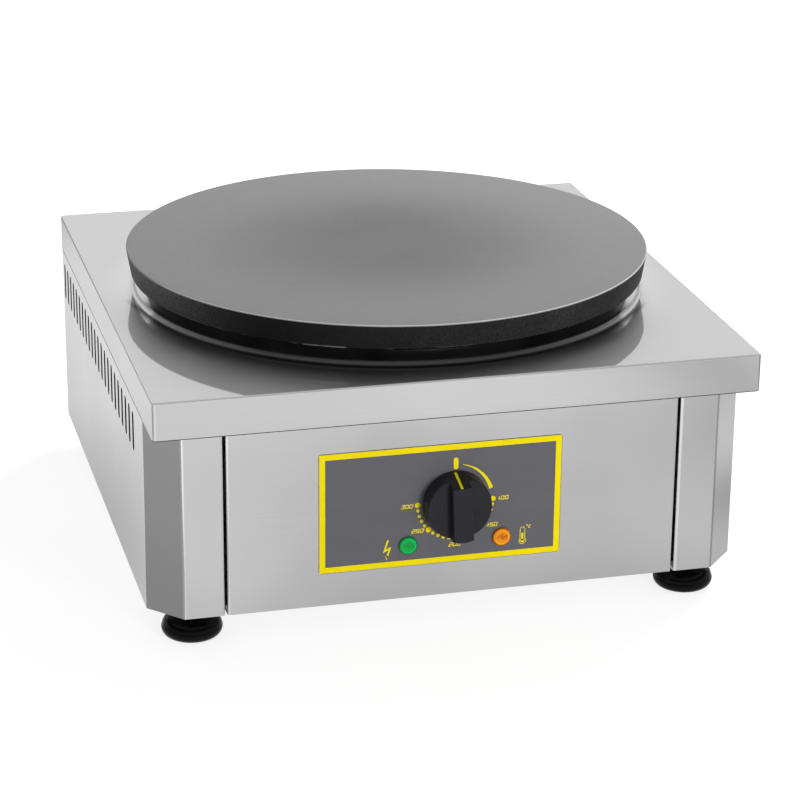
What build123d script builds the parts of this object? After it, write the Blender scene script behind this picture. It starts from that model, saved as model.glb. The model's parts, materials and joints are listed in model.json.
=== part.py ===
from build123d import *
import os
from math import asin, cos, degrees, radians, sin, sqrt

# Electric crepe maker. A thick cast-iron plate stands over a folded stainless-steel body. Three tubular ring
# elements are clamped under the plate, and a dial thermostat with a capillary feeler holds its temperature.
#
# Millimetres, +Z up. The front, with the dial, faces -Y, and +X is on the right of someone at the dial. The
# origin is on the table, midway between the knob's front and the back of the cable gland.

os.makedirs("parts", exist_ok=True)

# ---------------------------------------------------------------- driving dimensions

# Cooking plate
plate_radius = 200.0
plate_top = 231.0
plate_edge = 19.0  # height of the rim
plate_draft = 3.0  # how much the rim narrows towards its lower edge
plate_web = 11.0  # thickness of the cooking area inside the rim
plate_rim = 11.0  # width of the rim's lower face

# Deck
deck_width = 443.4
deck_depth = 452.0
deck_top = 199.0
deck_rim = 28.5
deck_sheet = 1.2
collar_radius = 194.0
collar_height = 12.0
collar_flare = 3.0

# Body
body_width = 443.2
body_bottom = 25.4
front_setback = 206.0  # plate axis to the front panel
back_setback = 224.5  # plate axis to the back panel
bevel_x = 23.4
bevel_y = 25.4
sheet = 1.0
bend = 1.8  # outside radius of a fold
flange = 15.0  # width of the folded-in edges
post_edge = 169.0  # inner edge of each front post, from the middle
post_gap = 1.8  # shadow gap between a post and the front panel
post_return = 12.0
rim_step = 1.4  # how far the sides step in, so that the deck's rim lies flush with them

# Vent slots in the sides
slot_count = 22
slot_pitch = 16.63
slot_length = 30.0
slot_width = 7.0
slot_middle_y = 35.3  # from the plate's axis
slot_middle_z = 146.3

# Dial, lamps and label on the front panel
dial_z = 97.4
knob_radius = 24.5
knob_height = 22.0  # front of the grip, from the panel
knob_disc = 14.0  # front of the disc behind the grip, from the panel
knob_gap = 1.0  # panel to the back of the knob
knob_rest = 3.0  # how far past the off mark the end stop lets it turn, anticlockwise
grip_end_width = 14.4  # the grip widens from its pointer end
grip_tail_width = 16.2  # to its tail, both at the edge of the disc
grip_slope_low = (24.1, 3.0)  # where the sloped end starts: above the axis, and from the panel
grip_slope_high = (18.5, 22.0)  # where it meets the front of the grip
label_width = 180.0
label_height = 92.0
label_x = -10.7
label_z = 96.6
label_sheet = 0.4
lamp_x = 35.0
lamp_z = 67.0
lamp_radius = 7.0
lamp_barrel = 5.9
lamp_proud = 2.6

# Feet
foot_radius = 22.3
foot_x = 188.0
foot_inset = 30.5  # from the front and back panels
foot_gap = 0.2
stud_m10 = 5.0

# Ring elements and the stack under the plate
tube = 4.0  # radius of the heating tube
ring_radii = {"inner": 70.0, "middle": 115.0, "outer": 160.0}
leg_bend = 14.0
leg_half_spacing = 12.0
clamp_sheet = 2.0
stack_radius = 176.0
pad_height = 18.0
pan_sheet = 0.8
bar_width = 30.0
bar_height = 23.0
bar_sheet = 2.0
stud_circle = 137.5
stud_m8 = 4.0

# Cable gland
gland_x = 120.0
gland_z = 62.0
gland_length = 26.0
cable_bore = 5.0

running = 0.06  # radial clearance of a turning or sliding fit
loose = 0.1  # radial clearance of a fastener in its hole

# ---------------------------------------------------------------- places worked out from them

plate_y = (front_setback + knob_height - back_setback - gland_length) / 2
front_y = plate_y - front_setback
back_y = plate_y + back_setback
plate_bottom = plate_top - plate_edge
web_under = plate_top - plate_web
rim_inner = plate_radius - plate_draft - plate_rim
deck_under = deck_top - deck_sheet
deck_rim_bottom = deck_top - deck_rim
body_side = body_width / 2
inside = body_side - sheet
foot_y = {"front": front_y + foot_inset, "rear": back_y - foot_inset}

ring_z = web_under - tube
clamp_top = ring_z - tube
clamp_under = clamp_top - clamp_sheet
pan_floor = clamp_under - pad_height
bar_top = pan_floor - pan_sheet
bar_web_under = bar_top - bar_sheet

upright = Axis((0, plate_y, 0), (0, 0, 1))
half_section = Plane(origin=(0, plate_y, 0), x_dir=(1, 0, 0), z_dir=(0, -1, 0))
plate_angles = [45.0, 135.0, 225.0, 315.0]
stud_places = [
    (stud_circle * cos(radians(a)), plate_y + stud_circle * sin(radians(a))) for a in plate_angles
]
bar_offset = stud_circle * sin(radians(45.0))


def level(height):
    """The horizontal plane at a height, with its origin on the plate's axis."""
    return Plane(origin=(0, plate_y, height))


def facing(depth, x=0.0, z=dial_z):
    """A plane that faces the front, with its local Y up. Depth runs from the front panel into the body."""
    return Plane(origin=(x, front_y + depth, z), x_dir=(1, 0, 0), z_dir=(0, -1, 0))


def on_knob(depth):
    """The same plane on the dial's axis, turned as the knob rests, so its local Y runs to the pointer."""
    knob_right = (cos(radians(knob_rest)), 0, sin(radians(knob_rest)))
    return Plane(origin=(0, front_y + depth, dial_z), x_dir=knob_right, z_dir=(0, -1, 0))


# ---------------------------------------------------------------- fasteners


def hex_nuts(places, across_flats, hole, height):
    """Hexagon nuts, each standing on its plane."""
    with BuildPart() as nuts:
        with BuildSketch(*places):
            RegularPolygon(across_flats / sqrt(3), 6)
            Circle(hole + loose, mode=Mode.SUBTRACT)
        extrude(amount=height)
    return nuts


def pan_screws(places, shank, head, head_height, length):
    """Cross-head screws: the head's underside on the plane, the shank along its normal."""
    with BuildPart() as screws:
        with BuildSketch(*places):
            Circle(head)
        extrude(amount=-head_height)
        outer_circles = screws.edges().filter_by(GeomType.CIRCLE)
        fillet(outer_circles.filter_by(lambda e: on_top(e, places, head_height)), 0.7)
        with BuildSketch(*places):
            Circle(shank)
        extrude(amount=length)
        with BuildSketch(*[p.offset(-head_height) for p in places]):
            Rectangle(head * 1.1, 0.9)
            Rectangle(0.9, head * 1.1)
        extrude(amount=head_height * 0.5, mode=Mode.SUBTRACT)
    return screws


def on_top(edge, places, head_height):
    """Whether an edge lies on the outer face of one of the heads."""
    return any(abs(p.to_local_coords(edge.center()).Z + head_height) < 1e-3 for p in places)


# ---------------------------------------------------------------- cooking plate

with BuildPart() as griddle_plate:
    with BuildSketch(half_section) as plate_half:
        with BuildLine():
            Polyline(
                (0, plate_top),
                (plate_radius, plate_top),
                (plate_radius - plate_draft, plate_bottom),
                (rim_inner, plate_bottom),
                (rim_inner - 1.0, web_under),
                (0, web_under),
                close=True,
            )
        make_face()
        fillet(plate_half.vertices().sort_by(Axis.X)[-2:], 1.0)
    revolve(axis=upright)
    with BuildSketch(level(web_under)):
        with PolarLocations(stud_circle, 4, start_angle=45):
            Circle(10.0)
    extrude(amount=-5.0, taper=4)
    with BuildSketch(level(web_under - 5.0)):
        with PolarLocations(stud_circle, 4, start_angle=45):
            Circle(stud_m8 + loose)
    extrude(amount=11.5, mode=Mode.SUBTRACT)
    with BuildSketch(level(web_under)):
        with Locations((0, 32.0), (0, 8.0)):
            Circle(2.0 + loose)
    extrude(amount=6.0, mode=Mode.SUBTRACT)
griddle_plate.part.label = "griddle_plate"
export_step(griddle_plate.part, "parts/griddle_plate.step")

# Studs screwed into the plate's bosses, with three nuts on each: one presses the clamp plate, and the other
# two grip the pan and the support bar.
with BuildPart() as plate_studs:
    with BuildSketch(level(bar_web_under - 12.0)):
        with PolarLocations(stud_circle, 4, start_angle=45):
            Circle(stud_m8)
    extrude(amount=web_under + 6.0 - (bar_web_under - 12.0))
    chamfer(plate_studs.edges().group_by(Axis.Z)[0], 0.8)
plate_studs.part.label = "plate_studs"
export_step(plate_studs.part, "parts/plate_studs.step")

nut_m8 = 6.5
nut_levels = [clamp_under - nut_m8, pan_floor, bar_web_under - nut_m8]
nut_places = [Plane(origin=(x, y, z)) for z in nut_levels for x, y in stud_places]
stud_nuts = hex_nuts(nut_places, 13.0, stud_m8, nut_m8)
stud_nuts.part.label = "stud_nuts"
export_step(stud_nuts.part, "parts/stud_nuts.step")

# ---------------------------------------------------------------- ring elements


def ring_heater(radius):
    """A ring of heating tube, open at -X, where both ends bend down to their terminals."""
    opening = asin((leg_half_spacing + leg_bend) / radius)
    outward = Vector(-cos(opening), sin(opening), 0)
    along = Vector(-sin(opening), -cos(opening), 0)
    end = Vector(0, plate_y, ring_z) + outward * radius
    end_plane = Plane(origin=end, x_dir=outward, z_dir=along)
    leg_top = end + along * leg_bend - Vector(0, 0, leg_bend)
    with BuildPart() as heater:
        with BuildSketch(end_plane):
            Circle(tube)
        revolve(axis=Axis((0, plate_y, 0), (0, 0, -1)), revolution_arc=180 - degrees(opening))
        with BuildSketch(end_plane):
            Circle(tube)
        revolve(axis=Axis(end - Vector(0, 0, leg_bend), -outward), revolution_arc=90)
        with BuildSketch(Plane(origin=leg_top, z_dir=(0, 0, -1))):
            Circle(tube)
        extrude(amount=20.0)
        with BuildSketch(Plane(origin=leg_top - Vector(0, 0, 20.0), z_dir=(0, 0, -1))):
            Circle(2.0)
        extrude(amount=12.0)
        mirror(about=Plane.XZ.offset(-plate_y))
    return heater, leg_top


inner_heater, inner_leg = ring_heater(ring_radii["inner"])
inner_heater.part.label = "inner_heater"
export_step(inner_heater.part, "parts/inner_heater.step")

middle_heater, middle_leg = ring_heater(ring_radii["middle"])
middle_heater.part.label = "middle_heater"
export_step(middle_heater.part, "parts/middle_heater.step")

outer_heater, outer_leg = ring_heater(ring_radii["outer"])
outer_heater.part.label = "outer_heater"
export_step(outer_heater.part, "parts/outer_heater.step")

legs = [inner_leg, middle_leg, outer_leg]
leg_places = [(leg.X, y) for leg in legs for y in (leg.Y, 2 * plate_y - leg.Y)]
leg_slots = [(x, y + (4.0 if y > plate_y else -4.0)) for x, y in leg_places]  # room for the legs' bends
pin_bottom = inner_leg.Z - 32.0

# ---------------------------------------------------------------- feeler

bulb_y = plate_y + 20.0
bulb_radius = 3.0
bulb_half = 38.0
bulb_z = web_under - bulb_radius

with BuildPart() as sensing_bulb:
    with BuildSketch(Plane.YZ.offset(-bulb_half)):
        with Locations((bulb_y, bulb_z)):
            Circle(bulb_radius)
    extrude(amount=2 * bulb_half)
    fillet(sensing_bulb.edges().filter_by(GeomType.CIRCLE), 1.5)
sensing_bulb.part.label = "sensing_bulb"
export_step(sensing_bulb.part, "parts/sensing_bulb.step")

# A saddle strap that holds the feeler against the plate.
strap_radius = bulb_radius + 1.1
with BuildPart() as bulb_clip:
    with BuildSketch(Plane.YZ.offset(-7.0)):
        with Locations((bulb_y, bulb_z)):
            Circle(strap_radius)
        with Locations((bulb_y, web_under - 0.5)):
            Rectangle(34.0, 1.0)
        with Locations((bulb_y, bulb_z)):
            Circle(bulb_radius + loose, mode=Mode.SUBTRACT)
        with Locations((bulb_y, web_under)):
            Rectangle(2 * bulb_radius + 2 * loose, 2 * bulb_radius, mode=Mode.SUBTRACT)
        with Locations((bulb_y, web_under + 5.0)):
            Rectangle(40.0, 10.0, mode=Mode.SUBTRACT)
    extrude(amount=14.0)
    with BuildSketch(level(web_under)):
        with Locations((0, 32.0), (0, 8.0)):
            Circle(2.0 + loose)
    extrude(amount=-6.0, mode=Mode.SUBTRACT)
bulb_clip.part.label = "bulb_clip"
export_step(bulb_clip.part, "parts/bulb_clip.step")

clip_holes = [Plane(origin=(0, plate_y + y, web_under - 1.0)) for y in (32.0, 8.0)]
bulb_clip_screws = pan_screws(clip_holes, 2.0, 3.8, 2.4, 6.0)
bulb_clip_screws.part.label = "bulb_clip_screws"
export_step(bulb_clip_screws.part, "parts/bulb_clip_screws.step")

# ---------------------------------------------------------------- clamp plate, insulation and pan

capillary_x = bulb_half + 16.0
centre_hole = 62.0

with BuildPart() as heater_clamp_plate:
    with BuildSketch(level(clamp_under)):
        Circle(stack_radius)
        Circle(centre_hole, mode=Mode.SUBTRACT)
        with PolarLocations(stud_circle, 4, start_angle=45):
            Circle(stud_m8 + 0.5, mode=Mode.SUBTRACT)
    extrude(amount=clamp_sheet)
    with BuildSketch(Plane.XY.offset(clamp_under)):
        with Locations(*leg_slots):
            SlotOverall(22.0, 13.0, rotation=90)
    extrude(amount=clamp_sheet, mode=Mode.SUBTRACT)
    with BuildSketch(level(clamp_under)):
        with PolarLocations(stack_radius, 8, start_angle=0):
            SlotOverall(30.0, 8.0)
    extrude(amount=clamp_sheet, mode=Mode.SUBTRACT)
heater_clamp_plate.part.label = "heater_clamp_plate"
export_step(heater_clamp_plate.part, "parts/heater_clamp_plate.step")

with BuildPart() as insulation_pad:
    with BuildSketch(level(pan_floor)):
        Circle(stack_radius)
        with PolarLocations(stud_circle, 4, start_angle=45):
            Circle(10.0, mode=Mode.SUBTRACT)
        with Locations((capillary_x, bulb_y - plate_y)):
            Circle(3.0, mode=Mode.SUBTRACT)
    extrude(amount=pad_height)
    with BuildSketch(Plane.XY.offset(pan_floor)):
        with Locations(*leg_slots):
            SlotOverall(22.0, 13.0, rotation=90)
    extrude(amount=pad_height, mode=Mode.SUBTRACT)
insulation_pad.part.label = "insulation_pad"
export_step(insulation_pad.part, "parts/insulation_pad.step")

pan_wall = stack_radius + 1.2
with BuildPart() as heat_shield_pan:
    with BuildSketch(level(bar_top)):
        Circle(pan_wall + pan_sheet)
    extrude(amount=clamp_top - bar_top)
    with BuildSketch(level(pan_floor)):
        Circle(pan_wall)
    extrude(amount=clamp_top - pan_floor, mode=Mode.SUBTRACT)
    with BuildSketch(level(bar_top)):
        with PolarLocations(stud_circle, 4, start_angle=45):
            Circle(stud_m8 + loose)
        with Locations((capillary_x, bulb_y - plate_y)):
            Circle(3.0)
    extrude(amount=pan_sheet, mode=Mode.SUBTRACT)
    with BuildSketch(Plane.XY.offset(bar_top)):
        with Locations(*leg_places):
            Circle(tube + 0.5)
    extrude(amount=pan_sheet, mode=Mode.SUBTRACT)
heat_shield_pan.part.label = "heat_shield_pan"
export_step(heat_shield_pan.part, "parts/heat_shield_pan.step")

# ---------------------------------------------------------------- bars that carry the plate

bar_half = 196.0
bar_end = 216.0
bracket_screw_x = 207.0


def support_bar(y):
    """A channel open downwards, with its top run out at both ends to rest on the brackets."""
    with BuildPart() as bar:
        with BuildSketch(Plane(origin=(0, y, bar_top - bar_height))):
            Rectangle(2 * bar_half, bar_width)
        extrude(amount=bar_height)
        fillet(bar.edges().filter_by(Axis.X).group_by(Axis.Z)[-1], 2.5)
        with BuildSketch(Plane(origin=(0, y, bar_top - bar_height))):
            Rectangle(2 * bar_half, bar_width - 2 * bar_sheet)
        extrude(amount=bar_height - bar_sheet, mode=Mode.SUBTRACT)
        with BuildSketch(Plane(origin=(0, y, bar_web_under))):
            Rectangle(2 * bar_end, bar_width - 6.0)
        extrude(amount=bar_sheet)
        with BuildSketch(Plane(origin=(0, y, bar_web_under))):
            with Locations((-stud_places[0][0], 0), (stud_places[0][0], 0)):
                Circle(stud_m8 + loose)
            with Locations((-bracket_screw_x, 0), (bracket_screw_x, 0)):
                Circle(3.0 + loose)
        extrude(amount=bar_sheet, mode=Mode.SUBTRACT)
    return bar


front_support_bar = support_bar(plate_y - bar_offset)
front_support_bar.part.label = "front_support_bar"
export_step(front_support_bar.part, "parts/front_support_bar.step")

rear_support_bar = support_bar(plate_y + bar_offset)
rear_support_bar.part.label = "rear_support_bar"
export_step(rear_support_bar.part, "parts/rear_support_bar.step")

bracket_drop = 19.0
bracket_x = inside - rim_step
bracket_reach = 21.0
bar_rows = [plate_y - bar_offset, plate_y + bar_offset]
with BuildPart() as bar_brackets:
    for row in bar_rows:
        with BuildSketch(Plane.XZ.offset(-row - 13.0)) as bracket_profile:
            with BuildLine():
                Polyline(
                    (-bracket_x, bar_web_under - bracket_drop),
                    (-bracket_x, bar_web_under),
                    (-inside + bracket_reach, bar_web_under),
                    (-inside + bracket_reach, bar_web_under - bar_sheet),
                    (-bracket_x + bar_sheet, bar_web_under - bar_sheet),
                    (-bracket_x + bar_sheet, bar_web_under - bracket_drop),
                    close=True,
                )
            make_face()
        extrude(amount=26.0)
        with BuildSketch(Plane(origin=(-bracket_screw_x, row, bar_web_under - bar_sheet))):
            Circle(3.0 + loose)
        extrude(amount=bar_sheet, mode=Mode.SUBTRACT)
    mirror(about=Plane.YZ)
bar_brackets.part.label = "bar_brackets"
export_step(bar_brackets.part, "parts/bar_brackets.step")

bracket_points = [(x, row) for x in (-bracket_screw_x, bracket_screw_x) for row in bar_rows]
bracket_screws = pan_screws(
    [Plane(origin=(x, y, bar_top), z_dir=(0, 0, -1)) for x, y in bracket_points], 3.0, 5.5, 3.4, 14.0
)
bracket_screws.part.label = "bracket_screws"
export_step(bracket_screws.part, "parts/bracket_screws.step")

bracket_nuts = hex_nuts(
    [Plane(origin=(x, y, bar_web_under - bar_sheet - 5.0)) for x, y in bracket_points], 10.0, 3.0, 5.0
)
bracket_nuts.part.label = "bracket_nuts"
export_step(bracket_nuts.part, "parts/bracket_nuts.step")

# ---------------------------------------------------------------- deck

with BuildPart() as deck_cover:
    with BuildSketch(level(deck_rim_bottom)):
        RectangleRounded(deck_width, deck_depth, 3.0)
    extrude(amount=deck_rim)
    fillet(deck_cover.faces().sort_by(Axis.Z)[-1].edges(), 1.5)
    with BuildSketch(level(deck_rim_bottom)):
        RectangleRounded(deck_width - 2 * deck_sheet, deck_depth - 2 * deck_sheet, 3.0 - deck_sheet)
    extrude(amount=deck_rim - deck_sheet, mode=Mode.SUBTRACT)
    with BuildSketch(level(deck_under)):
        Circle(collar_radius + 5.0)
    extrude(amount=deck_sheet, mode=Mode.SUBTRACT)
    with BuildSketch(half_section):
        with BuildLine():
            FilletPolyline(
                (collar_radius + 6.0, deck_top),
                (collar_radius, deck_top),
                (collar_radius, deck_top + collar_height),
                radius=collar_flare,
            )
            Line(
                (collar_radius, deck_top + collar_height),
                (collar_radius - deck_sheet, deck_top + collar_height),
            )
            FilletPolyline(
                (collar_radius - deck_sheet, deck_top + collar_height),
                (collar_radius - deck_sheet, deck_under),
                (collar_radius + 6.0, deck_under),
                radius=collar_flare + deck_sheet,
            )
            Line((collar_radius + 6.0, deck_under), (collar_radius + 6.0, deck_top))
        make_face()
    revolve(axis=upright)
deck_cover.part.label = "deck_cover"
export_step(deck_cover.part, "parts/deck_cover.step")

# ---------------------------------------------------------------- body panels

body_height = deck_under - body_bottom
flange_start = front_y + bevel_y + 2.0
flange_end = back_y - 2 * sheet - 1.0
top_flange_z = deck_under - sheet
step_z = deck_rim_bottom - 0.3
step_x = -body_side + rim_step
step_front = front_y + bevel_y - 1.2
step_back = back_y - sheet
deck_fix_sides = [(inside - 8.0, plate_y + y) for y in (-150.0, 0.0, 150.0)]
deck_fix_front = [(100.0, front_y + 8.5)]
deck_fix = [(side * x, y) for x, y in deck_fix_sides + deck_fix_front for side in (-1, 1)]
base_fix_sides = [(inside - 8.0, plate_y + y) for y in (-130.0, 20.0, 150.0)]
base_fix_front = [(110.0, front_y + 19.5)]
base_fix = [(side * x, y) for x, y in base_fix_sides + base_fix_front for side in (-1, 1)]
back_fix = [(side * (inside - 8.0), z) for z in (45.0, 100.0, 155.0) for side in (-1, 1)]

with BuildPart() as left_side_panel:
    with BuildSketch(Plane.XY.offset(body_bottom)):
        with BuildLine():
            FilletPolyline(
                (-body_side + flange, back_y - sheet),
                (-body_side, back_y - sheet),
                (-body_side, front_y + bevel_y),
                (-body_side + bevel_x, front_y),
                (-post_edge, front_y),
                (-post_edge, front_y + post_return),
                radius=bend,
            )
            offset(amount=sheet, side=Side.LEFT)
        make_face()
    extrude(amount=body_height)
    for flange_z in (body_bottom, top_flange_z):
        with BuildSketch(Plane.XY.offset(flange_z)):
            with Locations((-inside - sheet / 2, flange_start)):
                Rectangle(flange, flange_end - flange_start, align=(Align.MIN, Align.MIN))
        extrude(amount=sheet)
    with BuildSketch(Plane.XY.offset(step_z)):
        with Locations((step_x, front_y)):
            Rectangle(2 * flange, body_width, align=(Align.MAX, Align.MIN))
    extrude(amount=body_height, mode=Mode.SUBTRACT)
    with BuildSketch(Plane.XZ.offset(-step_back)):
        with BuildLine():
            Polyline(
                (-inside - sheet / 2, step_z - sheet),
                (step_x + sheet, step_z - sheet),
                (step_x + sheet, deck_under),
                (step_x, deck_under),
                (step_x, step_z),
                (-inside - sheet / 2, step_z),
                close=True,
            )
        make_face()
    extrude(amount=step_back - step_front)
    with BuildSketch(Plane.YZ.offset(-body_side)):
        with Locations((plate_y + slot_middle_y, slot_middle_z)):
            with GridLocations(slot_pitch, 1, slot_count, 1):
                SlotOverall(slot_length, slot_width, rotation=90)
    extrude(amount=sheet, mode=Mode.SUBTRACT)
    with BuildSketch(Plane.XY.offset(top_flange_z)):
        with Locations(*[p for p in deck_fix if p[0] < -inside + flange]):
            Circle(2.5 + loose)
    extrude(amount=sheet, mode=Mode.SUBTRACT)
    with BuildSketch(Plane.XY.offset(body_bottom)):
        with Locations(*[p for p in base_fix if p[0] < -inside + flange]):
            Circle(2.0 + loose)
    extrude(amount=sheet, mode=Mode.SUBTRACT)
    with BuildSketch(Plane.XZ.offset(-back_y)):
        with Locations(*[p for p in back_fix if p[0] < 0]):
            Circle(2.0 + loose)
    extrude(amount=3 * sheet, mode=Mode.SUBTRACT)
left_side_panel.part.label = "left_side_panel"
export_step(left_side_panel.part, "parts/left_side_panel.step")

with BuildPart() as right_side_panel:
    mirror(left_side_panel.part, about=Plane.YZ)
right_side_panel.part.label = "right_side_panel"
export_step(right_side_panel.part, "parts/right_side_panel.step")

panel_edge = post_edge - post_gap
with BuildPart() as front_panel:
    with BuildSketch(Plane.XY.offset(body_bottom)):
        with BuildLine():
            FilletPolyline(
                (-panel_edge, front_y + post_return),
                (-panel_edge, front_y),
                (panel_edge, front_y),
                (panel_edge, front_y + post_return),
                radius=bend,
            )
            offset(amount=sheet, side=Side.LEFT)
        make_face()
    extrude(amount=body_height)
    with BuildSketch(Plane.XY.offset(body_bottom)):
        with Locations((0, front_y + sheet / 2)):
            Rectangle(2 * (panel_edge - sheet - 1.0), 26.0, align=(Align.CENTER, Align.MIN))
        with Locations(*[p for p in base_fix if abs(p[0]) < panel_edge]):
            Circle(2.0 + loose, mode=Mode.SUBTRACT)
    extrude(amount=sheet)
    with BuildSketch(Plane.XY.offset(top_flange_z)):
        with Locations((0, front_y + sheet / 2)):
            Rectangle(2 * (panel_edge - sheet - 1.0), flange, align=(Align.CENTER, Align.MIN))
        with Locations(*[p for p in deck_fix if abs(p[0]) < panel_edge]):
            Circle(2.5 + loose, mode=Mode.SUBTRACT)
    extrude(amount=sheet)
    with BuildSketch(facing(sheet)):
        Circle(5.2)
        with Locations((-14.0, 0), (14.0, 0)):
            Circle(2.0 + loose)
        with Locations((-lamp_x, lamp_z - dial_z), (lamp_x, lamp_z - dial_z)):
            Circle(lamp_barrel + loose)
    extrude(amount=sheet, mode=Mode.SUBTRACT)
front_panel.part.label = "front_panel"
export_step(front_panel.part, "parts/front_panel.step")

with BuildPart() as back_panel:
    with BuildSketch(Plane.XZ.offset(-back_y)) as back_outline:
        with Locations((0, (body_bottom + deck_under) / 2)):
            RectangleRounded(body_width - 6.0, body_height - 1.2, 2.0)
        with Locations(*back_fix):
            Circle(2.0 + loose, mode=Mode.SUBTRACT)
        with Locations((gland_x, gland_z)):
            Circle(10.0 + loose, mode=Mode.SUBTRACT)
    extrude(amount=sheet)
back_panel.part.label = "back_panel"
export_step(back_panel.part, "parts/back_panel.step")

# The base lies on the folded-in lower edges of the sides and the front, behind the folds at the shadow gaps.
base_z = body_bottom + sheet
base_sheet = 1.2
base_front = front_y + post_return + 0.5
base_side = inside - 0.4
base_bevel = bevel_x * (bevel_y - post_return - 0.5) / bevel_y
with BuildPart() as base_plate:
    with BuildSketch(Plane.XY.offset(base_z)):
        with BuildLine():
            Polyline(
                (-base_side, back_y - 2 * sheet - 0.4),
                (base_side, back_y - 2 * sheet - 0.4),
                (base_side, front_y + bevel_y + 1.5),
                (base_side - base_bevel - 1.0, base_front),
                (-base_side + base_bevel + 1.0, base_front),
                (-base_side, front_y + bevel_y + 1.5),
                close=True,
            )
        make_face()
        with Locations(*base_fix):
            Circle(2.0 + loose, mode=Mode.SUBTRACT)
        with Locations(*[(side * foot_x, y) for side in (-1, 1) for y in foot_y.values()]):
            Circle(8.0 + loose, mode=Mode.SUBTRACT)
        with Locations((0, plate_y)):
            with GridLocations(60.0, 18.0, 3, 9):
                SlotOverall(45.0, 6.0, mode=Mode.SUBTRACT)
    extrude(amount=base_sheet)
base_plate.part.label = "base_plate"
export_step(base_plate.part, "parts/base_plate.step")
base_top = base_z + base_sheet

# ---------------------------------------------------------------- body fasteners

panel_screws = pan_screws(
    [Plane(origin=(x, y, body_bottom)) for x, y in base_fix]
    + [Plane(origin=(x, back_y, z), z_dir=(0, -1, 0)) for x, z in back_fix],
    2.0, 3.8, 2.4, 8.0,
)
panel_screws.part.label = "panel_screws"
export_step(panel_screws.part, "parts/panel_screws.step")

with BuildPart() as deck_weld_studs:
    with BuildSketch(Plane.XY.offset(deck_under)):
        with Locations(*deck_fix):
            Circle(2.5)
    extrude(amount=-12.0)
deck_weld_studs.part.label = "deck_weld_studs"
export_step(deck_weld_studs.part, "parts/deck_weld_studs.step")

deck_nuts = hex_nuts([Plane(origin=(x, y, top_flange_z - 4.0)) for x, y in deck_fix], 8.0, 2.5, 4.0)
deck_nuts.part.label = "deck_nuts"
export_step(deck_nuts.part, "parts/deck_nuts.step")

# ---------------------------------------------------------------- label and pilot lamps

with BuildPart() as control_label:
    with BuildSketch(facing(0, label_x, label_z)):
        RectangleRounded(label_width, label_height, 1.5)
        with Locations((-label_x, dial_z - label_z)):
            Circle(19.5, mode=Mode.SUBTRACT)
        with Locations((-label_x - lamp_x, lamp_z - label_z), (-label_x + lamp_x, lamp_z - label_z)):
            Circle(lamp_barrel + loose, mode=Mode.SUBTRACT)
    extrude(amount=label_sheet)
control_label.part.label = "control_label"
export_step(control_label.part, "parts/control_label.step")


def lamp_lens(x):
    """A stepped lens: a bezel ring with a slightly domed window standing out of it."""
    with BuildPart() as lens:
        with BuildSketch(facing(-label_sheet, x, lamp_z)):
            Circle(lamp_radius)
        extrude(amount=lamp_proud - 0.8)
        chamfer(lens.edges().group_by(Axis.Y)[0], 0.6)
        with BuildSketch(facing(-label_sheet - lamp_proud + 0.8, x, lamp_z)):
            Circle(lamp_radius - 1.6)
        extrude(amount=0.8)
        fillet(lens.edges().group_by(Axis.Y)[0], 0.5)
    return lens


green_lamp_lens = lamp_lens(-lamp_x)
green_lamp_lens.part.label = "green_lamp_lens"
export_step(green_lamp_lens.part, "parts/green_lamp_lens.step")

amber_lamp_lens = lamp_lens(lamp_x)
amber_lamp_lens.part.label = "amber_lamp_lens"
export_step(amber_lamp_lens.part, "parts/amber_lamp_lens.step")

lamp_places = [facing(-label_sheet, x, lamp_z) for x in (-lamp_x, lamp_x)]
with BuildPart() as lamp_bodies:
    with BuildSketch(*lamp_places):
        Circle(lamp_barrel)
    extrude(amount=-(label_sheet + sheet + 22.0))
    with BuildSketch(*[facing(sheet + 22.0, x, lamp_z) for x in (-lamp_x, lamp_x)]):
        with Locations((-2.8, 0), (2.8, 0)):
            Rectangle(0.8, 4.8)
    extrude(amount=-7.0)
lamp_bodies.part.label = "lamp_bodies"
export_step(lamp_bodies.part, "parts/lamp_bodies.step")

with BuildPart() as lamp_clips:
    with BuildSketch(*[facing(sheet, x, lamp_z) for x in (-lamp_x, lamp_x)]):
        RegularPolygon(9.0, 8)
        Circle(lamp_barrel + loose, mode=Mode.SUBTRACT)
    extrude(amount=-1.5)
lamp_clips.part.label = "lamp_clips"
export_step(lamp_clips.part, "parts/lamp_clips.step")

# ---------------------------------------------------------------- thermostat

shaft_radius = 3.0
shaft_flat = 1.6  # from the shaft's axis to its flat
frame_sheet = 1.5

with BuildPart() as thermostat_frame:
    with BuildSketch(facing(sheet)):
        RectangleRounded(46.0, 22.0, 3.0)
    extrude(amount=-frame_sheet)
    with BuildSketch(facing(sheet)):
        Circle(5.0)
    extrude(amount=sheet + 1.0)
    with BuildSketch(facing(-1.0)):
        Circle(shaft_radius + running)
    extrude(amount=-(sheet + 1.0 + frame_sheet), mode=Mode.SUBTRACT)
    with BuildSketch(facing(sheet)):
        with Locations((-14.0, 0), (14.0, 0)):
            Circle(2.0 + loose)
    extrude(amount=-frame_sheet, mode=Mode.SUBTRACT)
thermostat_frame.part.label = "thermostat_frame"
export_step(thermostat_frame.part, "parts/thermostat_frame.step")

body_start = sheet + frame_sheet
thermostat_depth = 34.0
with BuildPart() as thermostat_body:
    with BuildSketch(facing(body_start)):
        RectangleRounded(44.0, 36.0, 2.0)
    extrude(amount=-thermostat_depth)
    chamfer(thermostat_body.faces().sort_by(Axis.Y)[-1].edges(), 1.5)
    with BuildSketch(facing(body_start)):
        Circle(shaft_radius + running)
        with Locations((-14.0, 0), (14.0, 0)):
            Circle(2.0 + loose)
    extrude(amount=-12.0, mode=Mode.SUBTRACT)
thermostat_body.part.label = "thermostat_body"
export_step(thermostat_body.part, "parts/thermostat_body.step")

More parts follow.
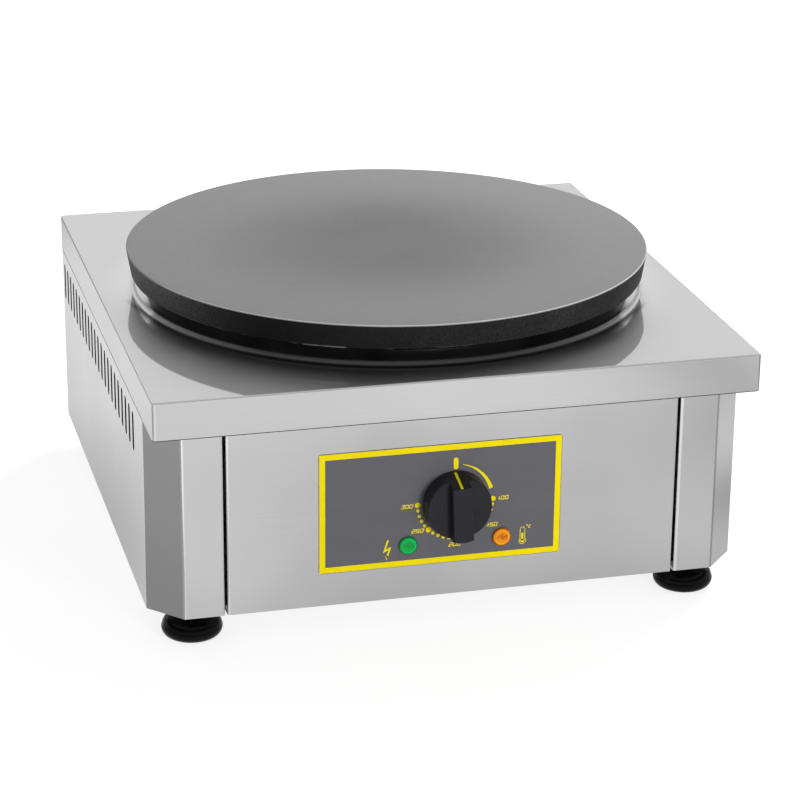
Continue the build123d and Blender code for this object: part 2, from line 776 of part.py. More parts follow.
tab_start = body_start + thermostat_depth
tab_x = [-14.0, 14.0]
with BuildPart() as thermostat_terminals:
    with BuildSketch(facing(tab_start)):
        with Locations(*[(x, 8.0) for x in tab_x]):
            Rectangle(6.3, 0.8)
    extrude(amount=-9.0)
thermostat_terminals.part.label = "thermostat_terminals"
export_step(thermostat_terminals.part, "parts/thermostat_terminals.step")

thermostat_screws = pan_screws(
    [Plane(origin=(x, front_y, dial_z), z_dir=(0, 1, 0)) for x in (-14.0, 14.0)], 2.0, 3.8, 2.4, 8.0
)
thermostat_screws.part.label = "thermostat_screws"
export_step(thermostat_screws.part, "parts/thermostat_screws.step")

shaft_back = body_start + 11.0
shaft_front = -knob_height + 6.0
with BuildPart() as thermostat_shaft:
    with BuildSketch(on_knob(shaft_back)):
        Circle(shaft_radius)
    extrude(amount=shaft_back - shaft_front)
    with BuildSketch(on_knob(-knob_gap - 1.0)):
        with Locations((0, shaft_flat)):
            Rectangle(10.0, 5.0, align=(Align.CENTER, Align.MIN))
    extrude(amount=knob_height, mode=Mode.SUBTRACT)
thermostat_shaft.part.label = "thermostat_shaft"
export_step(thermostat_shaft.part, "parts/thermostat_shaft.step")

# ---------------------------------------------------------------- knob

# The plane through the knob's axis and its pointer: local X runs out of the panel, local Y to the pointer.
pointer_way = Vector(-sin(radians(knob_rest)), 0, cos(radians(knob_rest)))
knob_side = Plane(origin=(0, front_y, dial_z), x_dir=(0, -1, 0), z_dir=Vector(0, -1, 0).cross(pointer_way))
slope_run = grip_slope_high[1] - grip_slope_low[1]
slope_fall = grip_slope_low[0] - grip_slope_high[0]
slope_length = sqrt(slope_run**2 + slope_fall**2)

with BuildPart() as control_knob:
    with BuildSketch(on_knob(-knob_gap)):
        Circle(knob_radius)
    extrude(amount=knob_disc - knob_gap, taper=3)
    fillet(control_knob.edges().group_by(Axis.Y)[0], 1.2)
    with BuildSketch(on_knob(-knob_gap)):
        with BuildLine():
            Polyline(
                (grip_end_width / 2, knob_radius),
                (-grip_end_width / 2, knob_radius),
                (-grip_tail_width / 2, -knob_radius),
                (grip_tail_width / 2, -knob_radius),
                close=True,
            )
        make_face()
        Circle(knob_radius - 0.3, mode=Mode.INTERSECT)
    extrude(amount=knob_height - knob_gap, taper=1.5)
    fillet(control_knob.faces().sort_by(Axis.Y)[0].edges(), 1.0)
    with BuildSketch(knob_side):
        with BuildLine():
            Polyline(
                (grip_slope_low[1], grip_slope_low[0]),
                (grip_slope_high[1] + slope_run, grip_slope_high[0] - slope_fall),
                (grip_slope_high[1] + slope_run, 2 * knob_radius),
                (grip_slope_low[1], 2 * knob_radius),
                close=True,
            )
        make_face()
    extrude(amount=grip_tail_width, both=True, mode=Mode.SUBTRACT)
    with BuildSketch(on_knob(-knob_gap)):
        Circle(21.0)
        Circle(6.0, mode=Mode.SUBTRACT)
    extrude(amount=4.5, mode=Mode.SUBTRACT)
    with BuildSketch(on_knob(-knob_gap)):
        Circle(shaft_radius + running)
        with Locations((0, shaft_flat + running)):
            Rectangle(10.0, 5.0, align=(Align.CENTER, Align.MIN), mode=Mode.SUBTRACT)
    extrude(amount=knob_height - knob_gap - 5.0, mode=Mode.SUBTRACT)
    with BuildSketch(on_knob(-knob_gap)):
        Circle(shaft_radius + running)
    extrude(amount=2.0, mode=Mode.SUBTRACT)
control_knob.part.label = "control_knob"
export_step(control_knob.part, "parts/control_knob.step")

slope_middle = knob_side.from_local_coords(
    ((grip_slope_low[1] + grip_slope_high[1]) / 2, (grip_slope_low[0] + grip_slope_high[0]) / 2, 0)
)
slope_normal = Vector(0, -slope_fall, 0) + pointer_way * slope_run
with BuildPart() as knob_pointer:
    with BuildSketch(Plane(origin=slope_middle, x_dir=on_knob(0).x_dir, z_dir=slope_normal)):
        RectangleRounded(1.8, slope_length - 1.0, 0.4)
    extrude(amount=0.25)
knob_pointer.part.label = "knob_pointer"
export_step(knob_pointer.part, "parts/knob_pointer.step")

# ---------------------------------------------------------------- feet

foot_top = body_bottom - foot_gap
bush_top = 40.0
stud_top = 52.0
stud_start = 12.0

with BuildPart() as foot_bushes:
    with BuildSketch(Plane.XY.offset(body_bottom)):
        with Locations(*[(side * foot_x, y) for side in (-1, 1) for y in foot_y.values()]):
            Circle(13.0)
    extrude(amount=sheet)
    with BuildSketch(Plane.XY.offset(body_bottom)):
        with Locations(*[(side * foot_x, y) for side in (-1, 1) for y in foot_y.values()]):
            Circle(8.0)
    extrude(amount=bush_top - body_bottom)
    with BuildSketch(Plane.XY.offset(body_bottom)):
        with Locations(*[(side * foot_x, y) for side in (-1, 1) for y in foot_y.values()]):
            Circle(stud_m10 + running)
    extrude(amount=bush_top - body_bottom, mode=Mode.SUBTRACT)
foot_bushes.part.label = "foot_bushes"
export_step(foot_bushes.part, "parts/foot_bushes.step")

for end, y in foot_y.items():
    for hand, side in {"left": -1, "right": 1}.items():
        x = side * foot_x
        foot_section = Plane(origin=(x, y, 0), x_dir=(1, 0, 0), z_dir=(0, -1, 0))
        with BuildPart() as foot:
            with BuildSketch(foot_section) as foot_half:
                with BuildLine():
                    Polyline((0, foot_top), (0, 0), (foot_radius, 0), (foot_radius, 7.2), (21.9, 8.2))
                    ThreePointArc((21.9, 8.2), (19.4, 13.6), (13.6, 17.6))
                    Polyline((13.6, 17.6), (13.6, foot_top), (0, foot_top))
                make_face()
                fillet(foot_half.vertices().group_by(Axis.Y)[0].sort_by(Axis.X)[-1], 6.5)
            revolve(axis=Axis((x, y, 0), (0, 0, 1)))
            with BuildSketch(Plane(origin=(x, y, stud_start))):
                Circle(stud_m10)
            extrude(amount=foot_top - stud_start, mode=Mode.SUBTRACT)
        foot.part.label = f"{end}_{hand}_foot"
        export_step(foot.part, f"parts/{end}_{hand}_foot.step")

        with BuildPart() as stud:
            with BuildSketch(Plane(origin=(x, y, stud_start))):
                Circle(stud_m10)
            extrude(amount=stud_top - stud_start)
            chamfer(stud.edges().group_by(Axis.Z)[-1], 1.0)
        stud.part.label = f"{end}_{hand}_foot_stud"
        export_step(stud.part, f"parts/{end}_{hand}_foot_stud.step")

# ---------------------------------------------------------------- supply connection

block_x = gland_x - 10.0
block_y = back_y - 75.0
block_height = 20.0
pole_pitch = 16.0
pole_x = [block_x + step * pole_pitch for step in (-1, 0, 1)]

with BuildPart() as terminal_block:
    with BuildSketch(Plane(origin=(block_x, block_y, base_top))):
        RectangleRounded(64.0, 24.0, 2.0)
    extrude(amount=block_height)
    with BuildSketch(Plane.XZ.offset(-block_y + 12.0)):
        with Locations(*[(x, base_top + 9.0) for x in pole_x]):
            Circle(3.0)
    extrude(amount=-24.0, mode=Mode.SUBTRACT)
    with BuildSketch(Plane(origin=(block_x, block_y, base_top + block_height))):
        with GridLocations(pole_pitch, 12.0, 3, 2):
            Circle(2.6)
    extrude(amount=-7.0, mode=Mode.SUBTRACT)
    with BuildSketch(Plane(origin=(block_x, block_y, base_top))):
        with Locations((-28.0, 0), (28.0, 0)):
            Circle(2.0 + loose)
    extrude(amount=block_height, mode=Mode.SUBTRACT)
terminal_block.part.label = "terminal_block"
export_step(terminal_block.part, "parts/terminal_block.step")

block_top = base_top + block_height
terminal_block_screws = pan_screws(
    [Plane(origin=(block_x + dx, block_y, block_top), z_dir=(0, 0, -1)) for dx in (-28.0, 28.0)],
    2.0, 3.8, 2.4, block_height - 0.5,
)
terminal_block_screws.part.label = "terminal_block_screws"
export_step(terminal_block_screws.part, "parts/terminal_block_screws.step")

earth_x = block_x + 60.0
with BuildPart() as earth_stud:
    with BuildSketch(Plane(origin=(earth_x, block_y, base_top))):
        Circle(3.0)
    extrude(amount=20.0)
    chamfer(earth_stud.edges().group_by(Axis.Z)[-1], 0.6)
earth_stud.part.label = "earth_stud"
export_step(earth_stud.part, "parts/earth_stud.step")

earth_nuts = hex_nuts([Plane(origin=(earth_x, block_y, base_top + z)) for z in (0.0, 10.0)], 10.0, 3.0, 5.0)
earth_nuts.part.label = "earth_nuts"
export_step(earth_nuts.part, "parts/earth_nuts.step")

# ---------------------------------------------------------------- cable gland


def backing(depth):
    """A plane that faces the back at the gland; depth is measured from the back panel outwards."""
    return Plane(origin=(gland_x, back_y + depth, gland_z), x_dir=(-1, 0, 0), z_dir=(0, 1, 0))


with BuildPart() as gland_body:
    with BuildSketch(backing(-10.0)):
        Circle(10.0)
    extrude(amount=10.0)
    with BuildSketch(backing(0)):
        RegularPolygon(24.0 / sqrt(3), 6)
    extrude(amount=6.0)
    with BuildSketch(backing(6.0)):
        Circle(9.2)
    extrude(amount=4.0)
    with BuildSketch(backing(-10.0)):
        Circle(7.2)
    extrude(amount=20.0, mode=Mode.SUBTRACT)
gland_body.part.label = "gland_body"
export_step(gland_body.part, "parts/gland_body.step")

with BuildPart() as gland_dome_nut:
    with BuildSketch(backing(6.0)):
        RegularPolygon(24.0 / sqrt(3), 6)
    extrude(amount=9.0)
    with BuildSketch(backing(15.0)):
        Circle(11.6)
    extrude(amount=gland_length - 15.0)
    fillet(gland_dome_nut.edges().group_by(Axis.Y)[-1], 5.0)
    with BuildSketch(backing(6.0)):
        Circle(9.3)
    extrude(amount=16.0, mode=Mode.SUBTRACT)
    with BuildSketch(backing(20.0)):
        Circle(6.4)
    extrude(amount=8.0, mode=Mode.SUBTRACT)
gland_dome_nut.part.label = "gland_dome_nut"
export_step(gland_dome_nut.part, "parts/gland_dome_nut.step")

with BuildPart() as gland_seal:
    with BuildSketch(backing(10.0)):
        Circle(9.2)
        Circle(cable_bore, mode=Mode.SUBTRACT)
    extrude(amount=12.0)
gland_seal.part.label = "gland_seal"
export_step(gland_seal.part, "parts/gland_seal.step")

gland_lock_nut = hex_nuts([backing(-sheet - 5.0)], 26.0, 10.0, 5.0)
gland_lock_nut.part.label = "gland_lock_nut"
export_step(gland_lock_nut.part, "parts/gland_lock_nut.step")

# ---------------------------------------------------------------- wiring and capillary

wire_radius = 1.5


def lead(radius, bends, *points):
    """A round lead that runs through the points, with each corner bent to its own radius."""
    with BuildPart() as run:
        with BuildLine() as route:
            FilletPolyline(*points, radius=bends)
        with BuildSketch(Plane(origin=route.line @ 0, z_dir=route.line % 0)):
            Circle(radius)
        sweep(path=route.line)
    return run.part


pole_z = base_top + 9.0
block_front = block_y - 12.0
tab_y = front_y + tab_start + 9.0
tab_z = dial_z + 8.0

with BuildPart() as live_wires:
    add(
        lead(
            wire_radius,
            [30.0, 30.0, 20.0],
            (pole_x[0], block_front + 4.0, pole_z),
            (pole_x[0], block_front - 70.0, pole_z),
            (40.0, plate_y - 49.0, pole_z + 15.0),
            (tab_x[1], tab_y + 47.0, tab_z),
            (tab_x[1], tab_y, tab_z),
        )
    )
    add(
        lead(
            wire_radius,
            [20.0, 30.0, 14.0],
            (tab_x[0], tab_y, tab_z),
            (tab_x[0], tab_y + 47.0, tab_z),
            (-90.0, plate_y - 49.0, tab_z + 25.0),
            (outer_leg.X, outer_leg.Y, tab_z + 35.0),
            (outer_leg.X, outer_leg.Y, pin_bottom),
        )
    )
live_wires.part.label = "live_wires"
export_step(live_wires.part, "parts/live_wires.step")

lamp_tab_y = front_y + sheet + 29.6
with BuildPart() as neutral_wires:
    add(
        lead(
            wire_radius,
            [30.0, 30.0, 25.0],
            (pole_x[1], block_front + 4.0, pole_z),
            (pole_x[1], block_front - 60.0, pole_z),
            (20.0, plate_y + 21.0, pole_z + 25.0),
            (inner_leg.X, 2 * plate_y - inner_leg.Y, 120.0),
            (inner_leg.X, 2 * plate_y - inner_leg.Y, pin_bottom),
        )
    )
    add(
        lead(
            0.8,
            [10.0, 10.0],
            (-lamp_x + 2.8, lamp_tab_y, lamp_z),
            (-lamp_x + 2.8, lamp_tab_y + 18.0, lamp_z - 6.0),
            (lamp_x + 2.8, lamp_tab_y + 18.0, lamp_z - 6.0),
            (lamp_x + 2.8, lamp_tab_y, lamp_z),
        )
    )
neutral_wires.part.label = "neutral_wires"
export_step(neutral_wires.part, "parts/neutral_wires.step")

ring_gap_z = base_top + 7.6
with BuildPart() as earth_wire:
    add(
        lead(
            wire_radius,
            [12.0, 12.0],
            (pole_x[2], block_front + 4.0, ring_gap_z),
            (pole_x[2], block_front - 26.0, ring_gap_z),
            (earth_x, block_front - 26.0, ring_gap_z),
            (earth_x, block_y - 3.5, ring_gap_z),
        )
    )
earth_wire.part.label = "earth_wire"
export_step(earth_wire.part, "parts/earth_wire.step")

capillary_z = dial_z - 5.0
with BuildPart() as capillary_tube:
    add(
        lead(
            1.0,
            [8.0, 30.0, 30.0],
            (bulb_half, bulb_y, bulb_z),
            (capillary_x, bulb_y, bulb_z),
            (capillary_x, bulb_y, 150.0),
            (0, plate_y - 99.0, capillary_z),
            (0, front_y + tab_start, capillary_z),
        )
    )
capillary_tube.part.label = "capillary_tube"
export_step(capillary_tube.part, "parts/capillary_tube.step")

# Flat links that join the ring elements' pins, one row live and one neutral.
with BuildPart() as heater_links:
    with BuildSketch(level(pin_bottom + 4.0)):
        with Locations(((inner_leg.X + outer_leg.X) / 2, middle_leg.Y - plate_y)):
            Rectangle(inner_leg.X - outer_leg.X + 12.0, 10.0)
    extrude(amount=1.0)
    with BuildSketch(Plane.XY.offset(pin_bottom + 4.0)):
        with Locations(*leg_places):
            Circle(2.0 + loose)
    extrude(amount=1.0, mode=Mode.SUBTRACT)
    mirror(about=Plane.XZ.offset(-plate_y))
heater_links.part.label = "heater_links"
export_step(heater_links.part, "parts/heater_links.step")
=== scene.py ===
# %% [markdown]
# # An electric crepe maker
#
# A heavy cast-iron plate stands over a folded stainless-steel body. The solid model gives every piece at its real size.
# These cells dress it: they build the studio, the finishes, the pilot lamps, the rough casting of the plate, the fine
# bends of the deck and the print round the dial. All lengths are in metres, +Z is up, and the dial faces -Y.

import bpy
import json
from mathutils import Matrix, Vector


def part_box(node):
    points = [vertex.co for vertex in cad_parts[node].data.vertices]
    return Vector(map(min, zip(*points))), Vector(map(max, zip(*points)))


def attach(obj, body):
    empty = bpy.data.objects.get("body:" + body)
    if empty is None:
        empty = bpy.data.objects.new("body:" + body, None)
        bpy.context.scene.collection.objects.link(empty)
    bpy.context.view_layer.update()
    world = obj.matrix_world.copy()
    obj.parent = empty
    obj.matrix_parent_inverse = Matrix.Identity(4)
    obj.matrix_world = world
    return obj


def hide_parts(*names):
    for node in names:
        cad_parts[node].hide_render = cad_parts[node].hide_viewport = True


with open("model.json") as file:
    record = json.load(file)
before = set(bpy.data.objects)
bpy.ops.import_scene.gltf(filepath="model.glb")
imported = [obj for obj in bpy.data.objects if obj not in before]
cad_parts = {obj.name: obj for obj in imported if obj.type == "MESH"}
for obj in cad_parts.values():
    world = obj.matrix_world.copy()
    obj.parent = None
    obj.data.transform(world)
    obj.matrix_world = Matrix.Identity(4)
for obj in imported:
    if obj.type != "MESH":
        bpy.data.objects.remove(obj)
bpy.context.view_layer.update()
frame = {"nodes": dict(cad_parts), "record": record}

# %% [markdown]
# The rest of the tools come with Blender. A `mm` constant keeps small sizes readable: 5 * mm is five millimetres.

# %% Tools and units
import json
import random
from math import atan2, cos, pi, radians, sin

import bmesh
import bpy
from mathutils import Matrix, Vector, noise

mm = 0.001
scene = bpy.context.scene
scene.view_settings.view_transform = "Standard"

# %% [markdown]
# ## Camera
#
# A long lens from some way off keeps the sides of the body almost parallel, as in a catalogue picture. The camera is
# placed on a sphere round a target: azimuth and elevation turn it, and a small roll levels the body. Its matrix is
# built from three axes: where it looks from, its right, and its up.

# %% Camera
view_azimuth = radians(-14.561)
view_elevation = radians(20.733)
view_roll = radians(0.522)
view_distance = 2.1732
view_target = Vector((0.01177, -0.01125, 0.09857))

backwards = Vector(
    (sin(view_azimuth) * cos(view_elevation), -cos(view_azimuth) * cos(view_elevation), sin(view_elevation))
)
level_right = Vector((0, 0, 1)).cross(backwards).normalized()
level_up = backwards.cross(level_right)
right = level_right * cos(view_roll) + level_up * sin(view_roll)
up = level_up * cos(view_roll) - level_right * sin(view_roll)

camera_data = bpy.data.cameras.new("camera")
camera_data.sensor_width = 36.0
camera_data.lens = 124.2
camera = bpy.data.objects.new("camera", camera_data)
camera.matrix_world = Matrix.Translation(view_target + backwards * view_distance) @ Matrix(
    (right, up, backwards)
).transposed().to_4x4()
scene.collection.objects.link(camera)
scene.camera = camera
print("camera at", [round(c, 3) for c in camera.matrix_world.translation])

# %% [markdown]
# ## Node helpers
#
# Materials are small programs. `put` adds one step to such a program: it fills the step's inputs, and an input that is
# given another step's output is linked to it. Short helpers wrap the steps that come back often: arithmetic, ranges,
# vectors and mixed colours.

# %% Steps of a material
def put(tree, kind, inputs=None, **settings):
    """Add a node. Settings are its properties. Inputs are linked when given a socket, and set otherwise."""
    made = tree.nodes.new(kind)
    for name, value in settings.items():
        setattr(made, name, value)
    for name, value in (inputs or {}).items():
        if isinstance(value, bpy.types.NodeSocket):
            tree.links.new(value, made.inputs[name])
        else:
            made.inputs[name].default_value = value
    return made


def math(tree, operation, first, second=0.0, third=0.0):
    """One step of arithmetic, as an output socket."""
    return put(tree, "ShaderNodeMath", {0: first, 1: second, 2: third}, operation=operation).outputs[0]


def remap(tree, value, low, high, new_low=0.0, new_high=1.0, smooth=False):
    """Stretch the range low to high onto the new range, and clamp outside it."""
    kind = "SMOOTHSTEP" if smooth else "LINEAR"
    inputs = {"Value": value, "From Min": low, "From Max": high, "To Min": new_low, "To Max": new_high}
    return put(tree, "ShaderNodeMapRange", inputs, interpolation_type=kind).outputs["Result"]


def vectors(tree, operation, first, second=(0.0, 0.0, 0.0)):
    """One step on vectors. A length and a dot product come out as a number, the rest as a vector."""
    outputs = put(tree, "ShaderNodeVectorMath", {0: first, 1: second}, operation=operation).outputs
    return outputs["Value" if operation in ("LENGTH", "DOT_PRODUCT") else "Vector"]


def parts(tree, vector):
    """The X, Y and Z of a vector."""
    return put(tree, "ShaderNodeSeparateXYZ", {0: vector}).outputs


def blend_colours(tree, factor, first, second):
    """Mix two colours, each a socket or four numbers."""
    made = put(tree, "ShaderNodeMix", data_type="RGBA")
    for index, value in ((0, factor), (6, first), (7, second)):
        if isinstance(value, bpy.types.NodeSocket):
            tree.links.new(value, made.inputs[index])
        else:
            made.inputs[index].default_value = value
    return made.outputs[2]


def grey(value):
    """A neutral colour of that linear value."""
    return (value, value, value, 1.0)


# %% [markdown]
# Every finish starts in the same way, with a fresh material and its Principled shader. It asks where a point lies and
# the way its face looks, works out its colour and roughness, and feeds them to the shader.

# %% Start and end of a material
def fresh_material(name):
    """A new material, its tree and its Principled shader."""
    material = bpy.data.materials.new(name)
    material.use_nodes = True
    return material, material.node_tree, material.node_tree.nodes["Principled BSDF"]


def own_place(tree):
    """Where a point lies in its piece's own frame."""
    return put(tree, "ShaderNodeTexCoord").outputs["Object"]


def facing(tree):
    """The way a face looks, as X, Y and Z."""
    return parts(tree, put(tree, "ShaderNodeNewGeometry").outputs["Normal"])


def feed(tree, shader, **values):
    """Fill sockets of a shader. Underscores in a name stand for spaces."""
    for name, value in values.items():
        socket = shader.inputs[name.replace("_", " ")]
        if isinstance(value, bpy.types.NodeSocket):
            tree.links.new(value, socket)
        else:
            socket.default_value = value


# %% [markdown]
# ## Studio
#
# A pale floor runs out of sight. To the camera it is white, and only a faint shadow stays under the body. Polished
# steel has no look of its own: it shows what stands round it. So mirror rays get their own version of the floor. It is
# darker close to the body, where little light gets in, and brighter at the left than at the right.

# %% Floor sheet
floor_size = 14.0
half = floor_size / 2
floor_mesh = bpy.data.meshes.new("floor")
floor_mesh.from_pydata([(-half, -half, 0), (half, -half, 0), (half, half, 0), (-half, half, 0)], [], [(0, 1, 2, 3)])
floor = bpy.data.objects.new("floor", floor_mesh)
scene.collection.objects.link(floor)
print("floor", floor_size, "m wide")

# %% [markdown]
# The mirrored floor is a product of gains. Most of them change along one axis, so they are kept as rows: the axis,
# where the change starts and ends, the gain at both, and whether the step is soft.

# %% Gains of the mirrored floor
floor_gains = [
    ("X", -0.2, 0.0, 0.96, 0.8, False),  # less light towards the right
    ("X", -0.33, -0.23, 1.3, 1.0, False),  # a bright strip beyond the left side
    ("X", 0.28, 0.4, 1.0, 0.68, True),  # a shaded strip along the right side
    ("X", 0.38, 0.47, 1.0, 1.65, True),  # a window beyond it
    ("X", 0.63, 0.68, 1.0, 0.3, False),  # and the wall after the window
    ("Y", -0.2, 0.2, 1.0, 0.86, False),  # less light behind
    ("Y", -0.38, -0.6, 1.0, 0.92, False),  # and far in front
]
front_start = ("Y", 0.0, -0.3, 0.0, 1.0, False)  # from here on, the floor stays light up to the horizon
pool_start = ("Y", -0.61, -0.69, 0.0, 1.0, True)  # a pool of light lies on the floor in front
pool_strengths = [("X", -0.15, 0.1, 0.24, 0.7, False), ("X", 0.22, 0.34, 1.0, 0.4, False)]
depth_stretch = (1.0, 1.4, 1.0)  # the shade round the body is an oval
# Distance from the middle where a shade starts and ends, and the gain at both.
body_shade = (0.24, 0.5, 0.66, 0.95)
horizon_shade = (1.0, 1.6, 1.0, 0.1)


def gain_along(tree, spot, row):
    """A gain that changes along one axis."""
    axis, start, end, first, last, smooth = row
    return remap(tree, spot[axis], start, end, first, last, smooth)


# %% Floor material
floor_whiteness = 0.8  # share of the floor's white that no shadow takes away
floor_shade = 0.42  # share that shadows do take away
floor_bounce = 0.7  # what matt surfaces get back from it

floor_material, tree, shader = fresh_material("pale_floor")
tree.nodes.remove(shader)
rays = put(tree, "ShaderNodeLightPath").outputs
place = own_place(tree)
spot = parts(tree, place)
away = vectors(tree, "LENGTH", vectors(tree, "MULTIPLY", place, depth_stretch))
horizon = math(tree, "MAXIMUM", remap(tree, away, *horizon_shade, smooth=True), gain_along(tree, spot, front_start))
pool_gain = math(tree, "MULTIPLY", *[gain_along(tree, spot, row) for row in pool_strengths])
front_pool = math(tree, "MULTIPLY_ADD", gain_along(tree, spot, pool_start), pool_gain, 1.0)
glow = math(tree, "MULTIPLY", remap(tree, away, *body_shade), front_pool)
for gain in [gain_along(tree, spot, row) for row in floor_gains] + [horizon]:
    glow = math(tree, "MULTIPLY", glow, gain)
mirrored = put(tree, "ShaderNodeEmission", {"Color": grey(1.0), "Strength": glow})
plain = put(tree, "ShaderNodeBsdfDiffuse", {"Color": grey(floor_bounce)})
white = put(tree, "ShaderNodeEmission", {"Color": grey(1.0), "Strength": floor_whiteness})
shaded = put(tree, "ShaderNodeBsdfDiffuse", {"Color": grey(floor_shade)})
seen = put(tree, "ShaderNodeAddShader", {0: white.outputs[0], 1: shaded.outputs[0]})
mirror_rays = math(tree, "MAXIMUM", rays["Is Glossy Ray"], rays["Is Transmission Ray"])
unseen = put(tree, "ShaderNodeMixShader", {0: mirror_rays, 1: plain.outputs[0], 2: mirrored.outputs[0]})
whole = put(tree, "ShaderNodeMixShader", {0: rays["Is Camera Ray"], 1: unseen.outputs[0], 2: seen.outputs[0]})
tree.links.new(whole.outputs[0], tree.nodes["Material Output"].inputs["Surface"])
floor_mesh.materials.append(floor_material)
print("mirrored floor:", len(floor_gains), "gains along X or Y")

# %% [markdown]
# The world is the room round the object. The camera sees white paper. Mirror rays find a bright backdrop behind the
# object, with a dark skirting, a dim ceiling, and a lit room in front with a dark doorway at eye height. The light
# that the world sheds on matt surfaces is even, because two soft lamps add the rest.

# %% World
bright_backdrop, dark_skirting, dim_ceiling = 1.0, 0.12, 0.45
lit_room, dark_doorway = 0.65, 0.02
ambient = 0.45
# Heights are shares of a sphere's radius round the object. Each pair is where a soft step starts and ends.
sill, lintel = (0.2, 0.28), (0.55, 0.45)
skirting_top, ceiling_start = (0.02, 0.2), (0.5, 0.85)
backdrop_side = (0.55, 0.74)  # cosine of the angle from straight back

world = bpy.data.worlds.new("studio")
scene.world = world
world.use_nodes = True
tree = world.node_tree
rays = put(tree, "ShaderNodeLightPath").outputs
direction = put(tree, "ShaderNodeTexCoord").outputs["Generated"]
heading = vectors(tree, "NORMALIZE", vectors(tree, "MULTIPLY", direction, (1.0, 1.0, 0.0)))
straight_back = Vector((-backwards.x, -backwards.y, 0)).normalized()
towards_back = vectors(tree, "DOT_PRODUCT", heading, straight_back)
height = parts(tree, direction)["Z"]
over_sill = remap(tree, height, *sill, smooth=True)
doorway = math(tree, "MULTIPLY", over_sill, remap(tree, height, *lintel, smooth=True))
room = put(tree, "ShaderNodeMix", {0: doorway, 2: lit_room, 3: dark_doorway}).outputs[0]
backdrop = remap(tree, height, *skirting_top, dark_skirting, bright_backdrop, smooth=True)
walls = remap(tree, towards_back, *backdrop_side, room, backdrop, smooth=True)
ceiling_share = remap(tree, height, *ceiling_start, smooth=True)
studio = put(tree, "ShaderNodeMix", {0: ceiling_share, 2: walls, 3: dim_ceiling}).outputs[0]
mirror_rays = math(tree, "MAXIMUM", rays["Is Glossy Ray"], rays["Is Transmission Ray"])
strength = put(tree, "ShaderNodeMix", {0: mirror_rays, 2: ambient, 3: studio}).outputs[0]
strength = put(tree, "ShaderNodeMix", {0: rays["Is Camera Ray"], 2: strength, 3: 1.0}).outputs[0]
tree.links.new(strength, tree.nodes["Background"].inputs["Strength"])
tree.nodes["Background"].inputs["Color"].default_value = grey(1.0)
print("world sheds", ambient, "on matt surfaces")


# %% Soft lamps
def soft_lamp(name, position, size, watts):
    """A square lamp with a diffuser, aimed at the middle of the body. Mirror rays don't see it."""
    data = bpy.data.lights.new(name, "AREA")
    data.size = size
    data.energy = watts
    lamp = bpy.data.objects.new(name, data)
    lamp.location = position
    lamp.rotation_mode = "QUATERNION"
    lamp.rotation_quaternion = (view_target - lamp.location).to_track_quat("-Z", "Y")
    lamp.visible_glossy = False
    scene.collection.objects.link(lamp)
    print(name, watts, "W")


soft_lamp("key_lamp", Vector((0.6, -2.1, 0.24)), 0.44, 23.5)
soft_lamp("top_lamp", Vector((0.8, 0.75, 1.1)), 0.9, 19.0)

# %% [markdown]
# Real studios also use dark cards. One lies on the floor at the left, seen only by mirror rays, and the slanted corner
# of the body picks it up. That tells the eye that the corner is a face of its own. Its far end is wider, for the
# round corner of the deck. Its corner next to the body is cut off at the back, so that the flat side doesn't show it.

# %% Dark card
card_middle = Vector((-0.585, -0.24, 0.004))
card_width, card_length = 0.72, 0.27
card_tone = 0.36
# Corners of the card, in halves of its width and length.
card_shape = [(-1, -2.8), (-0.1, -2.8), (-0.1, -1), (1, -1), (1, 0.5), (0.85, 1), (-0.1, 1), (-0.1, 1.6), (-1, 1.6)]
card_mesh = bpy.data.meshes.new("dark_card")
card_mesh.from_pydata(
    [card_middle + Vector((x * card_width / 2, y * card_length / 2, 0)) for x, y in card_shape],
    [],
    [tuple(range(len(card_shape)))],
)
card = bpy.data.objects.new("dark_card", card_mesh)
scene.collection.objects.link(card)
card.visible_camera = False
card.visible_diffuse = False
card.visible_shadow = False
card_material, tree, shader = fresh_material("dark_card")
tree.nodes.remove(shader)
card_glow = put(tree, "ShaderNodeEmission", {"Color": grey(card_tone), "Strength": 1.0})
tree.links.new(card_glow.outputs[0], tree.nodes["Material Output"].inputs["Surface"])
card_mesh.materials.append(card_material)
print("dark card with", len(card_shape), "corners")

# %% [markdown]
# ## Shared effects
#
# Some effects belong to more than one finish: the grain of rolled sheet, slow unevenness, the skin of a casting and the
# fine texture of moulded plastic. Each is a node group with named sockets, so a material places it with its own values.

# %% Node groups
def new_group(name, inputs, outputs):
    """A node group with named sockets. It returns the group, its inputs and its output node."""
    group = bpy.data.node_groups.new(name, "ShaderNodeTree")
    for label, kind, value in inputs:
        socket = group.interface.new_socket(label, in_out="INPUT", socket_type=kind)
        if value is not None:
            socket.default_value = value
    for label, kind in outputs:
        group.interface.new_socket(label, in_out="OUTPUT", socket_type=kind)
    print("group", name, "puts out", ", ".join(label for label, kind in outputs))
    return group, group.nodes.new("NodeGroupInput").outputs, group.nodes.new("NodeGroupOutput")


def use(tree, group, **inputs):
    """Place a group in a material, and return its outputs."""
    return put(tree, "ShaderNodeGroup", inputs, node_tree=group).outputs


FLOAT, VECTOR = "NodeSocketFloat", "NodeSocketVector"

# %% [markdown]
# Rolled sheet that was brushed has hairlines. A noise that is squeezed across the grain and stretched along it draws
# them. The Stretch input holds the density along X, Y and Z, so one group serves every face of a folded sheet.

# %% Sheet grain
sheet_grain, given, result = new_group(
    "sheet_grain",
    [("Vector", VECTOR, None), ("Stretch", VECTOR, (8.0, 900.0, 900.0))],
    [("Lines", FLOAT)],
)
stretched = vectors(sheet_grain, "MULTIPLY", given["Vector"], given["Stretch"])
hairlines = put(sheet_grain, "ShaderNodeTexNoise", {"Vector": stretched, "Scale": 1.0, "Detail": 3.0})
sheet_grain.links.new(hairlines.outputs["Fac"], result.inputs["Lines"])

